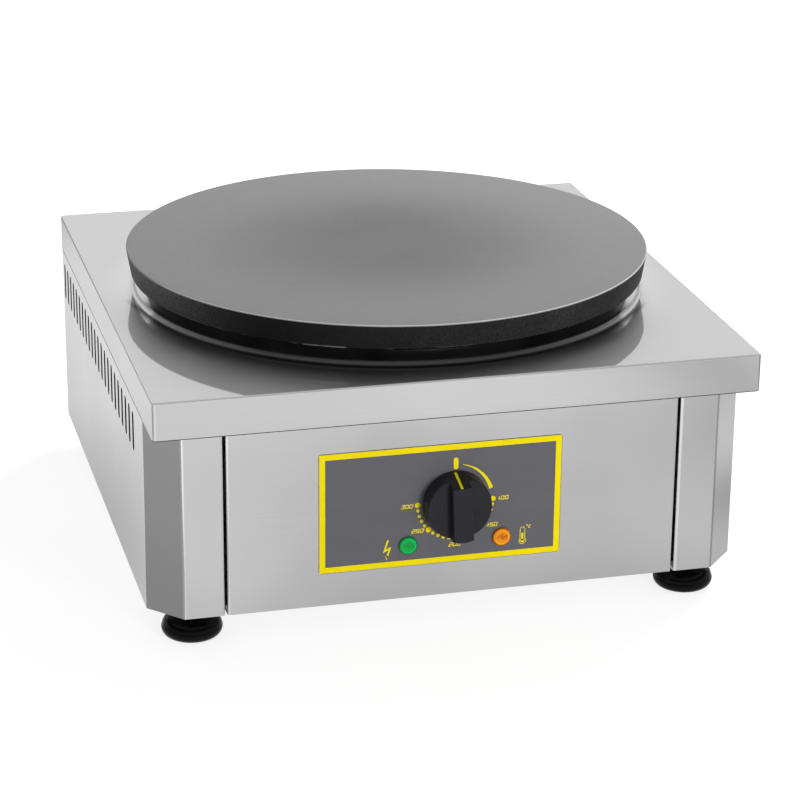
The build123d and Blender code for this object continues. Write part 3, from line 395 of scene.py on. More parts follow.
# %% [markdown]
# Sheet is never quite even, and a hand has wiped it. Slow clouds of noise stand for both: they shift the brightness
# and the roughness by a little. Other finishes use them as stains and as wear, each with its own scale and seed.

# %% Slow clouds
slow_clouds, given, result = new_group(
    "slow_clouds",
    [("Vector", VECTOR, None), ("Scale", FLOAT, 6.0), ("Seed", FLOAT, 0.0)],
    [("Clouds", FLOAT)],
)
moved = vectors(slow_clouds, "ADD", given["Vector"], given["Seed"])
clouds = put(slow_clouds, "ShaderNodeTexNoise", {"Vector": moved, "Scale": given["Scale"], "Detail": 2.0})
spread = remap(slow_clouds, clouds.outputs["Fac"], 0.3, 0.7, smooth=True)
slow_clouds.links.new(spread, result.inputs["Clouds"])

# %% [markdown]
# The skin of a sand casting is pebbled at two scales: broad lumps from the mould, and fine grain from the sand.

# %% Casting skin
casting_skin, given, result = new_group(
    "casting_skin",
    [("Vector", VECTOR, None), ("Scale", FLOAT, 400.0)],
    [("Height", FLOAT), ("Pits", FLOAT)],
)
sand_per_lump, sand_height = 2.6, 0.4
lumps = put(casting_skin, "ShaderNodeTexNoise", {"Vector": given["Vector"], "Scale": given["Scale"], "Detail": 4.0})
sand_scale = math(casting_skin, "MULTIPLY", given["Scale"], sand_per_lump)
sand = put(casting_skin, "ShaderNodeTexVoronoi", {"Vector": given["Vector"], "Scale": sand_scale})
height = math(casting_skin, "MULTIPLY_ADD", sand.outputs["Distance"], sand_height, lumps.outputs["Fac"])
pits = remap(casting_skin, lumps.outputs["Fac"], 0.42, 0.3)
casting_skin.links.new(height, result.inputs["Height"])
casting_skin.links.new(pits, result.inputs["Pits"])

# %% [markdown]
# Moulded plastic has a fine, even texture that breaks up its gloss.

# %% Mould texture
mould_texture, given, result = new_group(
    "mould_texture",
    [("Vector", VECTOR, None), ("Scale", FLOAT, 2500.0)],
    [("Height", FLOAT), ("Tone", FLOAT)],
)
wander_scale = 60.0
fine = put(mould_texture, "ShaderNodeTexNoise", {"Vector": given["Vector"], "Scale": given["Scale"], "Detail": 2.0})
broad = put(mould_texture, "ShaderNodeTexNoise", {"Vector": given["Vector"], "Scale": wander_scale, "Detail": 3.0})
mould_texture.links.new(fine.outputs["Fac"], result.inputs["Height"])
mould_texture.links.new(broad.outputs["Fac"], result.inputs["Tone"])

# %% [markdown]
# The cooking face is turned on a lathe, so its marks are circles round the plate's axis. The group works in polar
# terms: the noise runs quickly with the radius and slowly round the circle. It uses the direction from the axis, not
# an angle, because an angle jumps from +180 to -180 degrees and would leave a seam.

# %% Turned marks
turned_marks, given, result = new_group(
    "turned_marks",
    [("Vector", VECTOR, None), ("Axis", VECTOR, (0, 0, 0)), ("Density", FLOAT, 500.0), ("Streaks", FLOAT, 6.0)],
    [("Marks", FLOAT), ("Radius", FLOAT)],
)
offset = vectors(turned_marks, "SUBTRACT", given["Vector"], given["Axis"])
flat = vectors(turned_marks, "MULTIPLY", offset, (1.0, 1.0, 0.0))
radius = vectors(turned_marks, "LENGTH", flat)
outward = vectors(turned_marks, "NORMALIZE", flat)
streaked = put(turned_marks, "ShaderNodeVectorMath", operation="SCALE")
turned_marks.links.new(outward, streaked.inputs[0])
turned_marks.links.new(given["Streaks"], streaked.inputs["Scale"])
rings = put(turned_marks, "ShaderNodeCombineXYZ", {"Z": math(turned_marks, "MULTIPLY", radius, given["Density"])})
polar = vectors(turned_marks, "ADD", streaked.outputs[0], rings.outputs[0])
marks = put(turned_marks, "ShaderNodeTexNoise", {"Vector": polar, "Scale": 1.0, "Detail": 3.0})
turned_marks.links.new(marks.outputs["Fac"], result.inputs["Marks"])
turned_marks.links.new(radius, result.inputs["Radius"])

# %% [markdown]
# ## Stainless steel
#
# A metal's Base Color is the colour of its reflections, so the grey of the steel is set there. Hairlines and clouds
# then change the roughness and the brightness by a few percent. A sheet with more to show brings a function of its
# own, which changes the colour and the roughness once more.

# %% Stainless sheet
cloud_dark, cloud_bright = 0.92, 1.05  # shares of the sheet's tone
hairline_tone, hairline_share = 0.8, 0.12  # a hairline's share of the tone, and how much of it shows
hairline_slope = 0.25


def stainless(name, tone, roughness, stretch, cloud_scale, hairline_depth, extra=None):
    """Stainless sheet with its grain. extra is a function that changes the colour and the roughness once more."""
    material, tree, shader = fresh_material(name)
    place = own_place(tree)
    lines = use(tree, sheet_grain, Vector=place, Stretch=stretch)["Lines"]
    clouds = use(tree, slow_clouds, Vector=place, Scale=cloud_scale)["Clouds"]
    darkened = remap(tree, lines, 0.3, 0.7, 0.0, hairline_share)
    colour = blend_colours(tree, clouds, grey(tone * cloud_dark), grey(tone * cloud_bright))
    colour = blend_colours(tree, darkened, colour, grey(tone * hairline_tone))
    rough = remap(tree, clouds, 0.0, 1.0, roughness * 0.9, roughness * 1.15)
    rough = math(tree, "MULTIPLY_ADD", lines, roughness * 0.3, rough)
    bump = put(tree, "ShaderNodeBump", {"Height": lines, "Strength": hairline_slope, "Distance": hairline_depth})
    if extra:
        colour, rough = extra(tree, shader, place, tone, colour, rough)
    feed(tree, shader, Base_Color=colour, Metallic=1.0, Roughness=rough, Normal=bump.outputs[0])
    return material


# %% [markdown]
# The brushed sheet of the body has folds and slots. Some folds of the front carry a painted highlight, and one a
# painted shade line. The slots are punched near the top of the side panels, and hardly any light reaches their walls,
# so every face there that doesn't look outward is painted dark as shade. Both follow from the place of a point and the
# way its face looks.

# %% Folds and slots
# Place of a fold along X, half its width, and its share of the sheet's tone: above 1 a painted highlight, below 1
# painted shade.
fold_highlights_and_shade = [
    (-198.3 * mm, 1.3 * mm, 1.3),
    (-166.4 * mm, 1.1 * mm, 1.25),
    (170.2 * mm, 1.3 * mm, 1.4),
    (198.3 * mm, 1.3 * mm, 0.6),
]
slots_low, slots_high = 129 * mm, 163 * mm
slots_outside = 217 * mm  # from the middle of the body to the panels
# Tone of the painted shade on the walls of the slots.
slot_painted_shade = 0.006


def folds_and_slots(tree, shader, place, tone, colour, rough):
    """Paint highlights and a shade line along the front's folds, and paint the walls of the slots dark as shade."""
    spot, faces = parts(tree, place), facing(tree)
    on_front = math(tree, "LESS_THAN", faces["Y"], -0.3)
    for middle, half_width, gain in fold_highlights_and_shade:
        aside = math(tree, "ABSOLUTE", math(tree, "SUBTRACT", spot["X"], middle))
        line = math(tree, "MULTIPLY", remap(tree, aside, half_width, half_width / 2), on_front)
        colour = blend_colours(tree, line, colour, grey(tone * gain))
    outward = math(tree, "MULTIPLY", faces["X"], math(tree, "SIGN", spot["X"]))
    wall = math(tree, "LESS_THAN", outward, 0.5)
    for condition in (
        math(tree, "GREATER_THAN", spot["Z"], slots_low),
        math(tree, "LESS_THAN", spot["Z"], slots_high),
        math(tree, "GREATER_THAN", math(tree, "ABSOLUTE", spot["X"]), slots_outside),
    ):
        wall = math(tree, "MULTIPLY", wall, condition)
    return blend_colours(tree, wall, colour, grey(slot_painted_shade)), rough


print(len(fold_highlights_and_shade), "folds, slots from", slots_low / mm, "to", slots_high / mm, "mm")

# %% [markdown]
# The deck is buffed after rolling. Buffing leaves two reflections on top of each other: a soft haze from what is left
# of the grain, and a sharp one. A coat with a high index of refraction gives the sharp one. In a narrow ring round the
# plate, and only on the side towards the front, both are taken away and the steel is painted dark: painted shade and
# dark reflection from the plate above.

# %% Buffed deck
plate_low, plate_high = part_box("griddle_plate")
plate_axis = (plate_low + plate_high) / 2
plate_radius = (plate_high.x - plate_low.x) / 2
deck_low, deck_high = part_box("deck_cover")
deck_middle = (deck_low + deck_high) / 2
cut_height = 0.8 * mm  # of the rounded edge at the foot of the deck's skirt
shaded_front = Vector((-0.24, -0.971, 0.0))  # a little left of the front: the side on which the shade round the plate is painted
shade_ring_inner, shade_ring_outer = 198.5 * mm, 205 * mm  # the painted shade ring thins out between these radii
shade_ahead, unshaded_behind = 75 * mm, 45 * mm  # distances towards the shaded front between which the painted shade ring ends
# Tone of the painted shade round the plate and on the cut edge, and how much sharp reflection that painted shade keeps.
painted_shade_tone, shade_ring_coat = 0.02, 0.08
# Tone of the painted highlight along the deck's front fold.
front_fold_highlight = 0.9


def towards_shaded_front(tree, place):
    """How far a point lies from the plate's axis towards the shaded front."""
    return vectors(tree, "DOT_PRODUCT", vectors(tree, "SUBTRACT", place, plate_axis), shaded_front)


def buffed(tree, shader, place, tone, colour, rough):
    """Add the sharp reflection, painted shade round the plate on the front side, a painted highlight on the front fold
    and a cut edge painted dark.
    """
    flat = vectors(tree, "MULTIPLY", vectors(tree, "SUBTRACT", place, plate_axis), (1.0, 1.0, 0.0))
    radius = vectors(tree, "LENGTH", flat)
    behind = remap(tree, towards_shaded_front(tree, place), shade_ahead, unshaded_behind, smooth=True)
    unshaded = math(tree, "MAXIMUM", remap(tree, radius, shade_ring_inner, shade_ring_outer, smooth=True), behind)
    # The cut edge at the foot of the skirt is painted dark: the raw edge, and painted shade along the joint with the
    # body.
    above_edge = math(tree, "GREATER_THAN", parts(tree, place)["Z"], deck_low.z + cut_height)
    faces = facing(tree)
    # A painted highlight along the front fold.
    front_fold = math(tree, "MULTIPLY", remap(tree, faces["Z"], 0.02, 0.1), remap(tree, faces["Y"], -0.15, -0.25))
    colour = blend_colours(tree, front_fold, colour, grey(front_fold_highlight))
    colour = blend_colours(tree, math(tree, "MULTIPLY", above_edge, unshaded), grey(painted_shade_tone), colour)
    rough = math(tree, "MULTIPLY", rough, remap(tree, radius, shade_ring_inner, 1.1 * shade_ring_outer, 0.75, 1.0, smooth=True))
    coat = math(tree, "MULTIPLY", above_edge, remap(tree, unshaded, 0.0, 1.0, shade_ring_coat, 1.0))
    feed(tree, shader, Coat_Weight=coat, Coat_Roughness=0.03, Coat_IOR=3.2)
    return colour, rough


# The ring that this prints as soot is painted shade.
print("soot ends", round(shade_ring_outer / mm), "mm from the plate's axis")

# %% Sheet finishes
along_x = (6.0, 1400.0, 1400.0)
level_grain = (5.0, 5.0, 1400.0)
finishes = {
    "polished_stainless": stainless("buffed_stainless", 0.6, 0.42, along_x, 5.0, 0.01 * mm, buffed),
    "brushed_stainless": stainless("brushed_stainless", 0.66, 0.2, level_grain, 7.0, 0.02 * mm, folds_and_slots),
    "base_steel": stainless("mill_finish_steel", 0.5, 0.4, along_x, 12.0, 0.03 * mm),
    "inner_steel": stainless("aluminised_steel", 0.48, 0.45, along_x, 20.0, 0.03 * mm),
}
print("sheet finishes:", ", ".join(finishes))

# %% [markdown]
# ## Cast iron
#
# The cooking face is turned smooth and then seasoned, which leaves a soft grey sheen, a little darker in the middle.
# Its corner is painted bright as a highlight, except at the far left. The rim keeps its casting skin, blackened by oil
# and heat, and hardly shines. These are two materials on one piece, because the amount of gloss is set once for a whole
# material.

# %% Cooking face
# The last tone is the painted highlight on the corner.
hot_iron, seasoned_iron, corner_highlight_tone = 0.115, 0.22, 0.6
bright_mark, dark_mark = 0.27, 0.06
hot_radius, even_radius = 40 * mm, 170 * mm
unlit_until, lit_from = -194 * mm, -182 * mm  # along X: the painted highlight starts at the first and is full from the second

cast_iron, tree, shader = fresh_material("seasoned_cast_iron")
place = own_place(tree)
upward = facing(tree)["Z"]
turned = use(tree, turned_marks, Vector=place, Axis=plate_axis, Density=320.0, Streaks=24.0)
patches = use(tree, slow_clouds, Vector=place, Scale=9.0)["Clouds"]
heat_zone = remap(tree, turned["Radius"], hot_radius, even_radius, smooth=True)
colour = blend_colours(tree, heat_zone, grey(hot_iron), grey(seasoned_iron))
colour = blend_colours(tree, math(tree, "MULTIPLY", patches, 0.2), colour, grey(seasoned_iron))
colour = blend_colours(tree, remap(tree, turned["Marks"], 0.55, 0.75, 0.0, 0.3), colour, grey(bright_mark))
colour = blend_colours(tree, remap(tree, turned["Marks"], 0.42, 0.3, 0.0, 0.2), colour, grey(dark_mark))
# A painted highlight along the corner, left out at the far left.
lit_corner = math(tree, "MULTIPLY", remap(tree, upward, 0.2, 0.4), remap(tree, upward, 0.99, 0.9))
lit_corner = math(tree, "MULTIPLY", lit_corner, remap(tree, parts(tree, place)["X"], unlit_until, lit_from))
colour = blend_colours(tree, lit_corner, colour, grey(corner_highlight_tone))
rough = remap(tree, turned["Marks"], 0.3, 0.7, 0.42, 0.48)
bump = put(tree, "ShaderNodeBump", {"Height": turned["Marks"], "Strength": 0.2, "Distance": 0.08 * mm})
feed(tree, shader, Base_Color=colour, Roughness=rough, Normal=bump.outputs[0])
finishes["cast_iron"] = cast_iron
print("plate", round(2 * plate_radius / mm), "mm across")

# %% [markdown]
# Wear and painted light break up the black of the rim. Where a spatula rests against it, at the right, it is scuffed to
# a speckled grey. At the far left it is speckled too, and the grey grows paler towards the end, which is painted sheen.
# Along its lower edge, short stretches are rubbed down to bright iron, which also stands for a painted highlight on the
# nicks, most of all where the plate was once knocked.

# %% Cast rim
rim_black, pit_black = 0.006, 0.002
# Tone of the rubbed lower edge, which is also a painted highlight.
rubbed_and_lit_iron = 0.22
# Places along X between which the scuffs set in, and between which their tone grows paler towards the far left as
# painted sheen.
right_scuff, left_scuff_and_sheen = (-120 * mm, 140 * mm), (-130 * mm, -180 * mm)
scuff_and_sheen_tones = (-150 * mm, -195 * mm, 0.07, 0.17)
edge_top, edge_bottom = 1.4 * mm, 0.6 * mm  # above the plate's underside
knock_place, knock_reach = -83 * mm, (30 * mm, 10 * mm)  # along X

cast_rim, tree, shader = fresh_material("sooty_casting_skin")
place = own_place(tree)
spot = parts(tree, place)
skin = use(tree, casting_skin, Vector=place, Scale=420.0)
patches = use(tree, slow_clouds, Vector=place, Scale=14.0, Seed=3.0)["Clouds"]
grit = put(tree, "ShaderNodeTexNoise", {"Vector": place, "Scale": 900.0, "Detail": 3.0}).outputs["Fac"]
# The far left end of the scuffs also carries painted sheen.
ends = math(tree, "MAXIMUM", remap(tree, spot["X"], *right_scuff), remap(tree, spot["X"], *left_scuff_and_sheen))
scuffs_and_sheen = math(tree, "MULTIPLY", ends, remap(tree, patches, 0.0, 1.0, 0.4, 1.0))
speckles = math(tree, "MULTIPLY", remap(tree, grit, 0.3, 0.75), scuffs_and_sheen)
lower_edge = remap(tree, spot["Z"], plate_low.z + edge_top, plate_low.z + edge_bottom)
# Bright stretches along the lower edge: rubbed iron and a painted highlight on the nicks.
rubbed_and_lit = use(tree, slow_clouds, Vector=place, Scale=40.0, Seed=8.0)["Clouds"]
rubbed_and_lit = math(tree, "MULTIPLY", remap(tree, rubbed_and_lit, 0.66, 0.88), lower_edge)
from_knock = math(tree, "ABSOLUTE", math(tree, "SUBTRACT", spot["X"], knock_place))
rubbed_and_lit = math(tree, "MULTIPLY", rubbed_and_lit, remap(tree, from_knock, *knock_reach, 0.2, 1.0, smooth=True))
colour = blend_colours(tree, skin["Pits"], grey(rim_black), grey(pit_black))
colour = blend_colours(tree, speckles, colour, remap(tree, spot["X"], *scuff_and_sheen_tones))
colour = blend_colours(tree, rubbed_and_lit, colour, grey(rubbed_and_lit_iron))
rough = remap(tree, skin["Height"], 0.3, 1.0, 0.45, 0.6)
bump = put(tree, "ShaderNodeBump", {"Height": skin["Height"], "Strength": 0.5, "Distance": 0.3 * mm})
feed(tree, shader, Base_Color=colour, Roughness=rough, Normal=bump.outputs[0], Specular_IOR_Level=0.18)
print("rim material", cast_rim.name)

# %% [markdown]
# The deck's collar stands close to the hot plate. Its wall is painted dark towards the front, as painted shade and dark
# reflection. At the two ends and behind it keeps the steel's bright tone, as painted reflection, and near the top the
# painted dark reaches a little farther back. The bend at its foot is painted half bright as a highlight, and brighter
# towards the ends.

# %% Collar steel
# Tones of the painted reflection: the bright ends, and the dark wall with blotches.
lit_end_steel = 0.78
shaded_wall_dark, shaded_wall_pale = 0.02, 0.04
shade_fade_start, shade_fade_end = 92 * mm, 84 * mm  # distances towards the shaded front between which the painted dark gives way
top_band = (9 * mm, 3 * mm)  # below the collar's top
shade_lead = 12 * mm  # how much farther back the painted dark reaches at the top
foot_from, foot_to = 7.5 * mm, 9.5 * mm  # below the collar's top
painted_bend_tones = (175 * mm, 80 * mm, 0.12, 0.4)  # two distances towards the shaded front, and the tone of the painted highlight at each

collar_steel, tree, shader = fresh_material("collar_mirror_steel")
place = own_place(tree)
blotches = use(tree, slow_clouds, Vector=place, Scale=30.0)["Clouds"]
height = parts(tree, place)["Z"]
forward = towards_shaded_front(tree, place)
band_low, band_high = [deck_high.z - depth for depth in top_band]
lead = remap(tree, height, band_low, band_high, 0.0, shade_lead)
lit_ends = remap(tree, math(tree, "ADD", forward, lead), shade_fade_start, shade_fade_end, smooth=True)
foot_bend = remap(tree, height, deck_high.z - foot_from, deck_high.z - foot_to, smooth=True)
colour = blend_colours(tree, blotches, grey(shaded_wall_dark), grey(shaded_wall_pale))
colour = blend_colours(tree, foot_bend, colour, remap(tree, forward, *painted_bend_tones))
colour = blend_colours(tree, lit_ends, colour, grey(lit_end_steel))
rough = remap(tree, foot_bend, 0.0, 1.0, 0.12, 0.45)
feed(tree, shader, Base_Color=colour, Metallic=1.0, Roughness=rough)
print("collar material", collar_steel.name)

# %% [markdown]
# ## Plastics, rubber and the pieces inside
#
# Most small pieces need a plain finish with a little life in it. Two functions cover them: one for moulded or printed
# surfaces, and one for small metal pieces. Each takes its colour, its gloss and the scale of its texture.

# %% Moulded and metal finishes
def moulded(name, colour, roughness, scale=2500.0, depth=0.02 * mm, unevenness=0.15, shine=0.5):
    """Plastic, rubber or ink with a fine texture. unevenness is how far the colour wanders."""
    material, tree, shader = fresh_material(name)
    place = own_place(tree)
    texture = use(tree, mould_texture, Vector=place, Scale=scale)
    darker = tuple(c * (1 - unevenness) for c in colour) + (1.0,)
    lighter = tuple(min(1.0, c * (1 + unevenness)) for c in colour) + (1.0,)
    tone = blend_colours(tree, remap(tree, texture["Tone"], 0.35, 0.65), darker, lighter)
    rough = remap(tree, texture["Height"], 0.3, 0.7, roughness * 0.9, roughness * 1.1)
    bump = put(tree, "ShaderNodeBump", {"Height": texture["Height"], "Strength": 0.3, "Distance": depth})
    feed(tree, shader, Base_Color=tone, Roughness=rough, Normal=bump.outputs[0], Specular_IOR_Level=shine)
    return material


def small_metal(name, colour, roughness):
    """Plated, bare or heat-stained metal for fasteners and terminals."""
    material, tree, shader = fresh_material(name)
    place = own_place(tree)
    blotches = use(tree, slow_clouds, Vector=place, Scale=90.0)["Clouds"]
    darker = tuple(c * 0.78 for c in colour) + (1.0,)
    tone = blend_colours(tree, blotches, darker, colour + (1.0,))
    rough = remap(tree, blotches, 0.0, 1.0, roughness * 1.2, roughness * 0.85)
    feed(tree, shader, Base_Color=tone, Metallic=1.0, Roughness=rough)
    return material


finishes |= {
    "zinc_fasteners": small_metal("zinc_plate", (0.62, 0.63, 0.66), 0.3),
    "stainless_screws": small_metal("stainless_screw", (0.62, 0.62, 0.62), 0.25),
    "heater_sheath": small_metal("heat_stained_sheath", (0.2, 0.19, 0.18), 0.5),
    "copper": small_metal("bare_copper", (0.72, 0.36, 0.2), 0.3),
    "brass_tabs": small_metal("bare_brass", (0.8, 0.62, 0.3), 0.3),
    "ceramic_fibre": moulded("ceramic_fibre", (0.8, 0.79, 0.74), 0.9, 700.0, 0.3 * mm),
    "lamp_barrel": moulded("nylon_barrel", (0.75, 0.75, 0.7), 0.4),
    "phenolic": moulded("phenolic", (0.05, 0.04, 0.035), 0.4),
    "gland_plastic": moulded("gland_nylon", (0.03, 0.03, 0.032), 0.42),
    "gland_rubber": moulded("gland_rubber", (0.02, 0.02, 0.02), 0.7, 1500.0),
    "brown_insulation": moulded("brown_silicone", (0.16, 0.06, 0.03), 0.5),
    "blue_insulation": moulded("blue_silicone", (0.03, 0.1, 0.45), 0.5),
    "green_insulation": moulded("green_silicone", (0.08, 0.35, 0.05), 0.5),
    "foot_plastic": moulded("foot_plastic", (0.002, 0.002, 0.002), 0.2, 1800.0, 0.01 * mm, 0.1, 0.12),
    "knob_plastic": moulded("knob_plastic", (0.019, 0.018, 0.024), 0.4, 3000.0, 0.01 * mm, 0.05, 0.2),
    "label_film": moulded("charcoal_film", (0.108, 0.106, 0.12), 0.45, 4000.0, 0.005 * mm, 0.03),
    "yellow_print": moulded("yellow_ink", (0.88, 0.72, 0.002), 0.5, 3000.0, 0.005 * mm, 0.02, 0.15),
}
print(len(finishes), "finishes")

# %% [markdown]
# ## Pilot lamps
#
# A pilot lamp is a tinted plastic window over a small glow tube. It has a dark edge, then a bright ring where the
# window is thick, with a painted highlight in it, and small facets inside the ring whose random tones include painted
# glints. The group measures the distance from the lamp's axis and turns it into those zones, and each lamp gives it its
# own axis.

# %% Lamp window group
lamp_window, given, result = new_group(
    "lamp_window",
    [("Vector", VECTOR, None), ("Axis", VECTOR, (0, 0, 0)), ("Radius", FLOAT, 0.007)],
    [("Rim", FLOAT), ("Ring", FLOAT), ("Facets", FLOAT)],
)
facet_density = 430.0
# Where a zone starts and ends, in shares of the window's radius.
rim_zone, ring_zone, facet_zone = (0.8, 0.9), (0.55, 0.7), (0.08, 0.3)
offset = vectors(lamp_window, "SUBTRACT", given["Vector"], given["Axis"])
flat = vectors(lamp_window, "MULTIPLY", offset, (1.0, 0.0, 1.0))
share = math(lamp_window, "DIVIDE", vectors(lamp_window, "LENGTH", flat), given["Radius"])
rim = remap(lamp_window, share, *rim_zone, smooth=True)
ring = remap(lamp_window, share, *ring_zone, smooth=True)
cells = put(lamp_window, "ShaderNodeTexVoronoi", {"Vector": flat, "Scale": facet_density}).outputs["Color"]
tones = put(lamp_window, "ShaderNodeSeparateColor", {0: cells}).outputs[0]
facets = math(lamp_window, "MULTIPLY", tones, remap(lamp_window, share, *facet_zone))
for zone, value in (("Rim", rim), ("Ring", ring), ("Facets", facets)):
    lamp_window.links.new(value, result.inputs[zone])

# %% Lamp materials
lamp_glow = 0.3


def lens(name, node, rim_colour, ring_colour, dark_facet, facet_glint):
    """A tinted window with a dark edge, a bright ring with a painted highlight, and facets with painted glints."""
    low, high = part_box(node)
    material, tree, shader = fresh_material(name)
    place = own_place(tree)
    zones = use(tree, lamp_window, Vector=place, Axis=(low + high) / 2, Radius=(high.x - low.x) / 2)
    colour = blend_colours(tree, zones["Facets"], dark_facet, facet_glint)
    colour = blend_colours(tree, zones["Ring"], colour, ring_colour)
    colour = blend_colours(tree, zones["Rim"], colour, rim_colour)
    glow = remap(tree, zones["Rim"], 0.0, 1.0, lamp_glow, 0.0)
    feed(tree, shader, Base_Color=colour, Roughness=0.22, Specular_IOR_Level=0.3)
    feed(tree, shader, Emission_Color=blend_colours(tree, glow, grey(0.0), colour), Emission_Strength=1.0)
    return material


# The last colour of each lamp is the painted glint on its facets.
finishes["green_lens"] = lens(
    "green_window",
    "green_lamp_lens",
    (0.0, 0.16, 0.04, 1.0),
    (0.0, 0.38, 0.08, 1.0),
    (0.0, 0.2, 0.03, 1.0),
    (0.0, 0.31, 0.045, 1.0),
)
finishes["amber_lens"] = lens(
    "amber_window",
    "amber_lamp_lens",
    (0.36, 0.1, 0.003, 1.0),
    (0.8, 0.28, 0.003, 1.0),
    (0.36, 0.08, 0.001, 1.0),
    (0.68, 0.26, 0.001, 1.0),
)

# %% [markdown]
# ## Finishes onto the solid pieces
#
# The record names a material slot for every node. The finish goes into the object's own slot, so meshes stay as they
# were packed.

# %% Dress the nodes
for row in frame["record"]["subparts"]:
    piece = frame["nodes"][row["node"]]
    for slot in piece.material_slots:
        slot.link = "OBJECT"
        slot.material = finishes[row["material_slot"]]


# %% [markdown]
# ## The cast plate
#
# The rim of the plate is a raw casting: slightly lumpy, with nicks along its lower edge from years of handling. The
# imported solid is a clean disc, so a denser copy is turned here from the same section. Its points are then pushed by
# noise, and by nicks at places drawn from a seeded generator, so that each run gives the same plate.

# %% Plate section
def arc(centre, radius, start, end, steps):
    """Points of an arc in the section's plane, angles in degrees."""
    angles = [radians(start + (end - start) * i / steps) for i in range(steps + 1)]
    return [(centre[0] + radius * cos(a), centre[1] + radius * sin(a)) for a in angles]


plate_draft = 3.0 * mm
rim_width = 11.0 * mm
web = 11.0 * mm
web_corner = 1.0 * mm
plate_corner = 1.0 * mm
top_inset, low_inset = 1.08, 0.92  # the sloping side shifts the centres of the arcs by these shares of the corner
draft_angle = atan2(plate_draft, plate_high.z - plate_low.z) * 180 / pi
top_centre = (plate_radius - top_inset * plate_corner, plate_high.z - plate_corner)
low_centre = (plate_radius - plate_draft - low_inset * plate_corner, plate_low.z + plate_corner)
top_arc = arc(top_centre, plate_corner, 90, -draft_angle, 6)
low_arc = arc(low_centre, plate_corner, -draft_angle, -90, 6)
side_steps = 22
side = [
    tuple(a + (b - a) * i / side_steps for a, b in zip(top_arc[-1], low_arc[0])) for i in range(1, side_steps)
]
inner_wall = plate_radius - plate_draft - rim_width
web_under = plate_high.z - web
face_rings = (0.02, 0.3, 0.6, 0.85, 0.96, 0.985)  # shares of the plate's radius
face = [(plate_radius * share, plate_high.z) for share in face_rings]
underside = [
    (inner_wall, plate_low.z),
    (inner_wall - web_corner, web_under),
    (face_rings[0] * plate_radius, web_under),
]
plate_section = face + top_arc + side + low_arc + underside
print("plate section has", len(plate_section), "points")


# %% Turn the plate
def turned_mesh(name, section, axis, segments):
    """Revolve a section, given as radius and height, round an upright axis, and close both ends."""
    verts = [
        (axis.x + r * cos(2 * pi * s / segments), axis.y + r * sin(2 * pi * s / segments), z)
        for r, z in section
        for s in range(segments)
    ]
    faces = []
    for row in range(len(section) - 1):
        for s in range(segments):
            t = (s + 1) % segments
            low, high = row * segments, (row + 1) * segments
            faces.append((low + s, high + s, high + t, low + t))
    faces.append(tuple(range(segments)))
    faces.append(tuple(reversed(range((len(section) - 1) * segments, len(section) * segments))))
    mesh = bpy.data.meshes.new(name)
    mesh.from_pydata(verts, [], faces)
    mesh.update()
    return mesh


plate_segments = 900
plate_mesh = turned_mesh("cast_griddle_plate", plate_section, plate_axis, plate_segments)
nick_source = random.Random(7)
nick_count = 9
nick_angles, nick_widths = (225, 300), (2, 5)
nicks = [
    (radians(nick_source.uniform(*nick_angles)), nick_source.uniform(*nick_widths) * mm) for _ in range(nick_count)
]
nick_height = 3 * mm
# Only points past this radius and below this height are pushed.
rim_start, rim_top = plate_radius - plate_draft - 1.5 * plate_corner, plate_high.z - 0.6 * plate_corner
lump_size = 9.0 * mm
lump_depth = 0.14 * mm
nick_depth = 0.35 * mm
for vertex in plate_mesh.vertices:
    out = Vector((vertex.co.x - plate_axis.x, vertex.co.y - plate_axis.y, 0))
    if out.length <= rim_start or vertex.co.z >= rim_top:
        continue
    outward = out.normalized()
    push = lump_depth * (noise.noise(vertex.co / lump_size) + 0.5 * noise.noise(vertex.co / (lump_size / 3)) - 1.0)
    angle = atan2(out.y, out.x) % (2 * pi)
    low_edge = max(0.0, 1 - (vertex.co.z - plate_low.z) / nick_height)
    for where, width in nicks:
        along = (angle - where) * plate_radius
        if abs(along) < width:
            push -= nick_depth * low_edge * (1 - abs(along) / width)
    vertex.co += outward * push
plate_mesh.shade_smooth()
cast_plate = bpy.data.objects.new("cast_griddle_plate", plate_mesh)
scene.collection.objects.link(cast_plate)
plate_mesh.materials.append(cast_iron)
plate_mesh.materials.append(cast_rim)
first_rim_row = len(face) + len(top_arc) - 1
for polygon in plate_mesh.polygons[first_rim_row * plate_segments : -2]:
    polygon.material_index = 1
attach(cast_plate, "chassis")
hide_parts("griddle_plate")
print("plate mesh:", len(plate_mesh.vertices), "points")

# %% [markdown]
# ## The deck
#
# A mirror shows every flat of a mesh, and the solid's round edges are made of few flats. So the deck is laid out again
# with fine bends. One closed line of points follows the sheet's section, from the foot of the skirt over the bend, the
# deck and the collar, and back along the underside. Every point carries the normal of the true surface, so flat sheet
# stays flat and bends stay round.

# %% Outline of the deck
deck_sheet = 1.2 * mm
deck_corner = 3.0 * mm
deck_bend = 1.3 * mm
collar_radius = 194 * mm
collar_height = 12 * mm
collar_flare = 3.0 * mm
deck_top = deck_high.z - collar_height
corner_steps, side_steps = 8, 96


def deck_outline():
    """Points round the deck's edge, each with the level direction that points away from the deck there."""
    reach = (deck_high - deck_low) / 2 - Vector((deck_corner, deck_corner, 0))
    corners = [deck_middle + Vector((reach.x * x, reach.y * y, 0)) for x, y in ((1, 1), (-1, 1), (-1, -1), (1, -1))]
    outline = []
    for quarter, corner in enumerate(corners):
        for i in range(corner_steps + 1):
            angle = pi / 2 * (quarter + i / corner_steps)
            out = Vector((cos(angle), sin(angle), 0))
            outline.append((corner + out * deck_corner, out))
        span = corners[(quarter + 1) % 4] - corner
        start = outline[-1][0]
        outline += [(start + span * i / side_steps, out) for i in range(1, side_steps)]
    return outline


outline = deck_outline()
print("deck outline has", len(outline), "points")

